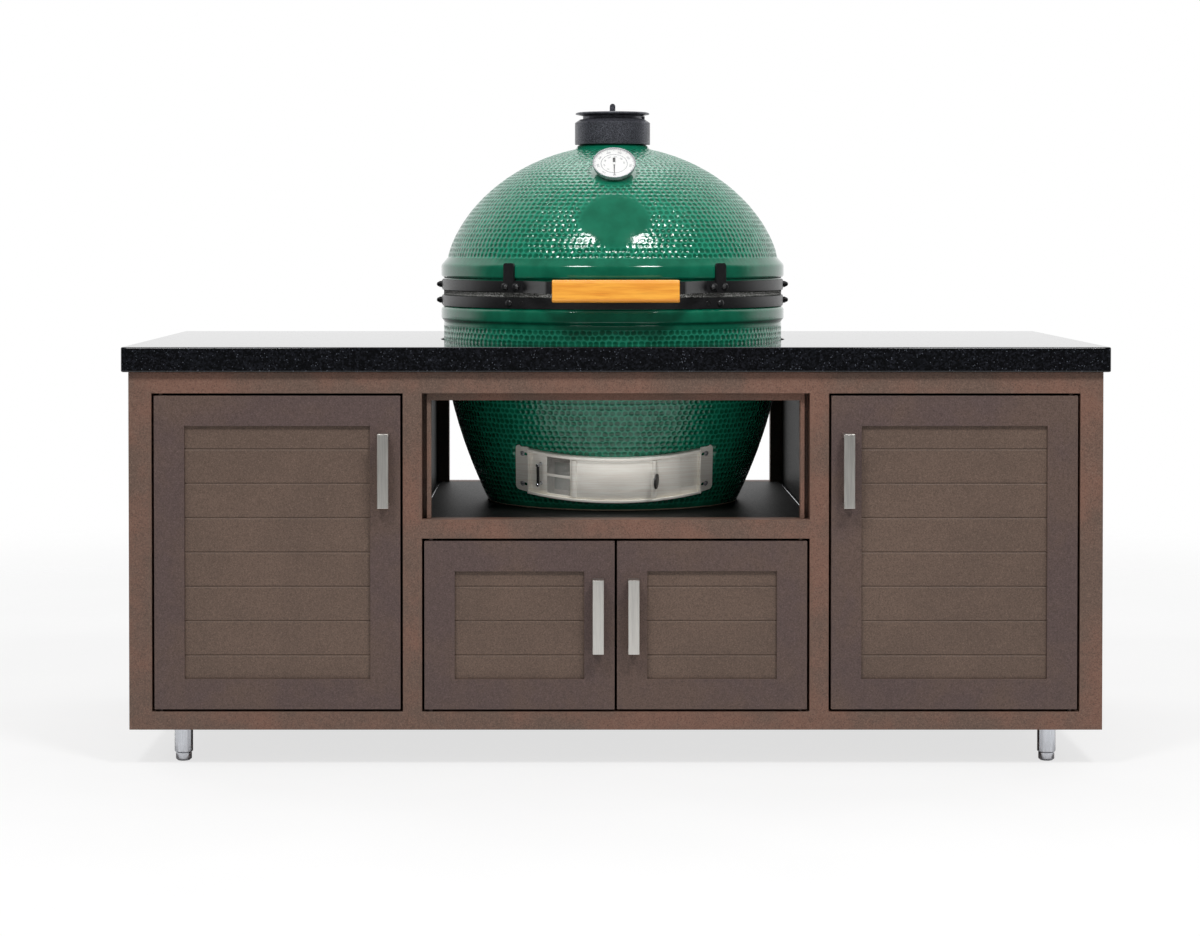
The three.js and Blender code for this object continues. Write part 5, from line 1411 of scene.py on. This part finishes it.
bar = swept([(x, y, height) for height in GRIP_HEIGHTS], circle(2.9))
draft_piece("screen_grip_bar", black_paint, "draft_screen", bar, slot="black_band")
print("weave", len(made[-3].data.polygons), "faces")

# %% The plain door with its rolled edges and knob
DOOR_START, DOOR_END = -16.5, 16
ROLL_HALF, ROLL_RISE, ROLL_SHORT = 5.6, 2.9, 6.3
KNOB_TURN, DISC_TURN, DISC_OUT = 15.2, 60, 14
KNOB_STUD = [(4.2, -0.5), (4.2, 1.5), (2.8, 2.2), (2.8, 12.4), (0.05, 12.6)]
KNOB_DISC = [(13.2, -2), (14.6, -1.6), (15, -0.6), (15, 0.6), (14.6, 1.6), (13.2, 2), (3.4, 2.05),
             (0.05, 2.05)]


def rolled_edge(angle):
    """A low round ridge that stands on the door along one of its upright edges."""
    reach = SLIDER_HALF - ROLL_SHORT
    roll = []
    for t in np.linspace(-1, 1, 13):
        a = math.radians(angle) + t * ROLL_HALF / DOOR_OUT
        rise = DOOR_OUT - 0.3 + ROLL_RISE * math.sqrt(1 - t * t)
        roll.append((rise * math.sin(a), -rise * math.cos(a)))
    return [(x, y, h) for h in (-reach, reach) for x, y in roll], tube_faces(2, len(roll))


door_parts = [strip(DOOR_IN, -SLIDER_HALF, SLIDER_HALF, DOOR_START, DOOR_END), rolled_edge(-15.6),
              rolled_edge(15.2)]
draft_piece("draft_door_sheet", steel_across, "draft_door", *door_parts, replaced=("draft_door",))
stud = on_sheet(KNOB_STUD, DOOR_OUT, KNOB_TURN, 0)
draft_piece("draft_knob_stud", chrome, "draft_door", stud, slot="stainless")
spot = on_wall(DOOR_OUT + DISC_OUT, KNOB_TURN, 0, axis_y=0)[0]
disc_faces = on_wall(0, KNOB_TURN + DISC_TURN, 0)[1]
disc = knob(KNOB_DISC, spot, disc_faces, 36)
draft_piece("draft_knob", black_paint, "draft_door", disc, slot="black_band")
print("draft door done, pieces so far", len(made))

# %% [markdown]
# ## Inside the cooker
# With the dome up, the cooking grid shows, and through it the fire ring, the fire box and the iron grate.
# The fire ring is turned like the shells, and the box and the grate keep the shape of their node. The grid
# is a hoop with rods laid across it.

# %% Clay and iron
ring_low, ring_high = box_of("fire_ring")
RING_OUTER, RING_WALL = ring_high[0], 24
fire_box_heights = heights_of("fire_box")
eased("fire_box", fired_clay, 3, 3, crease=45)
outline = ring_outline(RING_OUTER - RING_WALL, RING_OUTER, ring_low[2], ring_high[2])
fire_ring = turned_mesh("fire_ring", outline, 120, ease=4)
piece("clay_fire_ring", fire_ring, fired_clay, "cabinet", ("fire_ring",))
eased("fire_grate", cast_iron, 1.2)
print("fire box from", *fire_box_heights)

# %% Cooking grid
ROD, BAR, BAR_PITCH, BRACE = 4, 2.8, 20, 140
grid_low, grid_high = box_of("cooking_grid")
hoop_height = grid_low[2] + ROD
bar_height = grid_low[2] + BAR
brace_height = bar_height + BAR
centre_radius = grid_high[0] - ROD
bars_aside = int(centre_radius // BAR_PITCH)
hoop = [(centre_radius * math.sin(a), AXIS_Y - centre_radius * math.cos(a), hoop_height)
        for a in np.linspace(0, TURN, 145)]
grid_parts = [swept(hoop, circle(ROD))]
for i in range(-bars_aside, bars_aside + 1):
    x = i * BAR_PITCH
    reach = math.sqrt(centre_radius ** 2 - x ** 2)
    grid_parts.append(rod((x, AXIS_Y - reach, bar_height), (x, AXIS_Y + reach, bar_height), BAR, 10))
for y in (-BRACE, BRACE):
    reach = math.sqrt(centre_radius ** 2 - y ** 2)
    grid_parts.append(rod((-reach, AXIS_Y + y, brace_height), (reach, AXIS_Y + y, brace_height), ROD, 10))
built("steel_cooking_grid", wire_steel, "cabinet", *grid_parts, replaced=("cooking_grid",))
print("grid", len(made[-1].data.polygons), "faces")

# %% [markdown]
# ## Floor, light and camera
# The object stands on a plain white floor in a white room, lit by large soft lamps. What the camera sees of
# the room is white, whatever light falls on the object. Shiny pieces see that white too, but only in the
# room's back half: the half behind the camera is a grey studio, so that polished stone and glaze keep their
# depth.

# %% Floor
FLOOR_HALF, FLOOR_DROP = 9000, 0.5
FLOOR_GLOW = 0.72
FLOOR_FADE_FROM, FLOOR_FADE_TO = 2.0, 4.2


def floor_finish():
    f = Finish("studio_floor")
    camera_ray = f.node("ShaderNodeLightPath")
    grain = f.noise(400, detail=2)
    shade = f.colours(f.band(grain, 0.3, 0.7), (0.86, 0.86, 0.86), (0.90, 0.90, 0.90))
    f.coat(Base_Color=shade, Roughness=0.85)
    lit = Value(f, f.shader.outputs[0])
    glow = f.node("ShaderNodeEmission", None, {"Color": (1, 1, 1), "Strength": 1.0})
    clear = f.node("ShaderNodeBsdfTransparent")
    where = f.node("ShaderNodeTexCoord", output="Object")
    away = f.node("ShaderNodeVectorMath", {"operation": "LENGTH"}, {0: where}, output=1)
    near = f.node("ShaderNodeMixShader", None, {0: camera_ray * FLOOR_GLOW, 1: lit, 2: glow})
    gone = f.band(away, FLOOR_FADE_FROM, FLOOR_FADE_TO)
    whole = f.node("ShaderNodeMixShader", None, {0: gone, 1: near, 2: clear})
    f.feed(f.tree.nodes["Material Output"].inputs["Surface"], whole)
    return f.material


floor_corners = ring_outline(-FLOOR_HALF, FLOOR_HALF, -FLOOR_HALF, FLOOR_HALF)
floor_points = [(x, y, -FLOOR_DROP) for x, y in floor_corners]
floor = bpy.data.objects.new("floor", mesh_of("floor", floor_points, [(0, 1, 2, 3)]))
bpy.context.scene.collection.objects.link(floor)
floor.data.materials.append(floor_finish())
floor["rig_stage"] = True
print("floor", 2 * FLOOR_HALF, "mm square, seen as far as", FLOOR_FADE_TO, "m from the middle")

# %% Room
world = bpy.data.worlds.new("room")
bpy.context.scene.world = world
world.use_nodes = True
room = world.node_tree
room.nodes.clear()


class Room(Finish):
    def __init__(self, tree):
        self.tree = tree


r = Room(room)
where = r.node("ShaderNodeTexCoord", output="Generated")
depth = r.node("ShaderNodeSeparateXYZ", None, {"Vector": where}, output=1)
height = r.node("ShaderNodeSeparateXYZ", None, {"Vector": where}, output=2)
camera_ray = r.node("ShaderNodeLightPath")
ray_kinds = camera_ray.socket.node.outputs
glossy_ray = Value(r, ray_kinds["Is Glossy Ray"])
clear_ray = Value(r, ray_kinds["Is Transmission Ray"])
back_wall = r.band(depth, 0.0, 0.45, 0.08, 1.0)
ceiling = r.band(height, 0.3, 0.95, 0.0, 0.2)
seen_in_gloss = r.sum_of("MINIMUM", back_wall + ceiling, 1.0)
soft = 0.42
strength = soft + glossy_ray * (seen_in_gloss - soft) + clear_ray * (1 - soft)
strength = strength * (1 - camera_ray) + camera_ray
background = r.node("ShaderNodeBackground", None, {"Color": (1, 1, 1), "Strength": strength})
out = room.nodes.new("ShaderNodeOutputWorld")
room.links.new(background.socket, out.inputs["Surface"])
print("room made of", len(room.nodes), "nodes")


# %% Lamps
def lamp(name, place, target, size, power, mirrored=True):
    light = bpy.data.lights.new(name, "AREA")
    light.size = size
    light.energy = power
    thing = bpy.data.objects.new(name, light)
    thing.location = place
    aim = Vector(target) - Vector(place)
    thing.rotation_euler = aim.to_track_quat("-Z", "Y").to_euler()
    thing.visible_glossy = mirrored
    bpy.context.scene.collection.objects.link(thing)
    return thing


lamp("key", (1.3, -2.7, 3.6), (0, 0, 0.75), 0.8, 76)
lamp("fill", (-1.3, -2.7, 3.6), (0, 0, 0.75), 0.8, 60)
lamp("top", (0, 1.5, 3.9), (0, 0, 0.8), 1.9, 26)
lamp("back_left", (-3.2, 2.0, 2.5), (0, 0, 0.8), 1.6, 20, mirrored=False)
lamp("back_right", (3.2, 2.0, 2.5), (0, 0, 0.8), 1.6, 20, mirrored=False)
print("lamps", [light.name for light in bpy.data.lights])

# %% Camera
PICTURE_WIDTH = 1200
FOCAL_PIXELS = 2660
SENSOR = 36
TILT_PIXELS = 53
ASIDE_PIXELS, ABOVE_PIXELS = 30, 233
eye = bpy.data.cameras.new("photograph")
eye.sensor_width = SENSOR
eye.lens = SENSOR * FOCAL_PIXELS / PICTURE_WIDTH
eye.shift_x = ASIDE_PIXELS / PICTURE_WIDTH
eye.shift_y = (TILT_PIXELS - ABOVE_PIXELS) / PICTURE_WIDTH
eye.clip_end = 60
camera = bpy.data.objects.new("photograph", eye)
camera.location = (-0.086, -5.3795, 1.0)
camera.rotation_euler = (math.pi / 2 - math.atan(TILT_PIXELS / FOCAL_PIXELS), 0, 0)
bpy.context.scene.collection.objects.link(camera)
bpy.context.scene.camera = camera
bpy.context.scene.view_settings.view_transform = "Standard"
print("camera at", tuple(camera.location), "lens", round(eye.lens, 2))

# %% [markdown]
# ## Last measures
# The dressed object's box and the number of pieces are printed at the end. The dressed object has to
# stay inside the frame's box.

# %% Size and count of pieces
low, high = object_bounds()
print("dressed box", [round(v, 4) for v in (*low, *high)])
print("pieces", len(made))
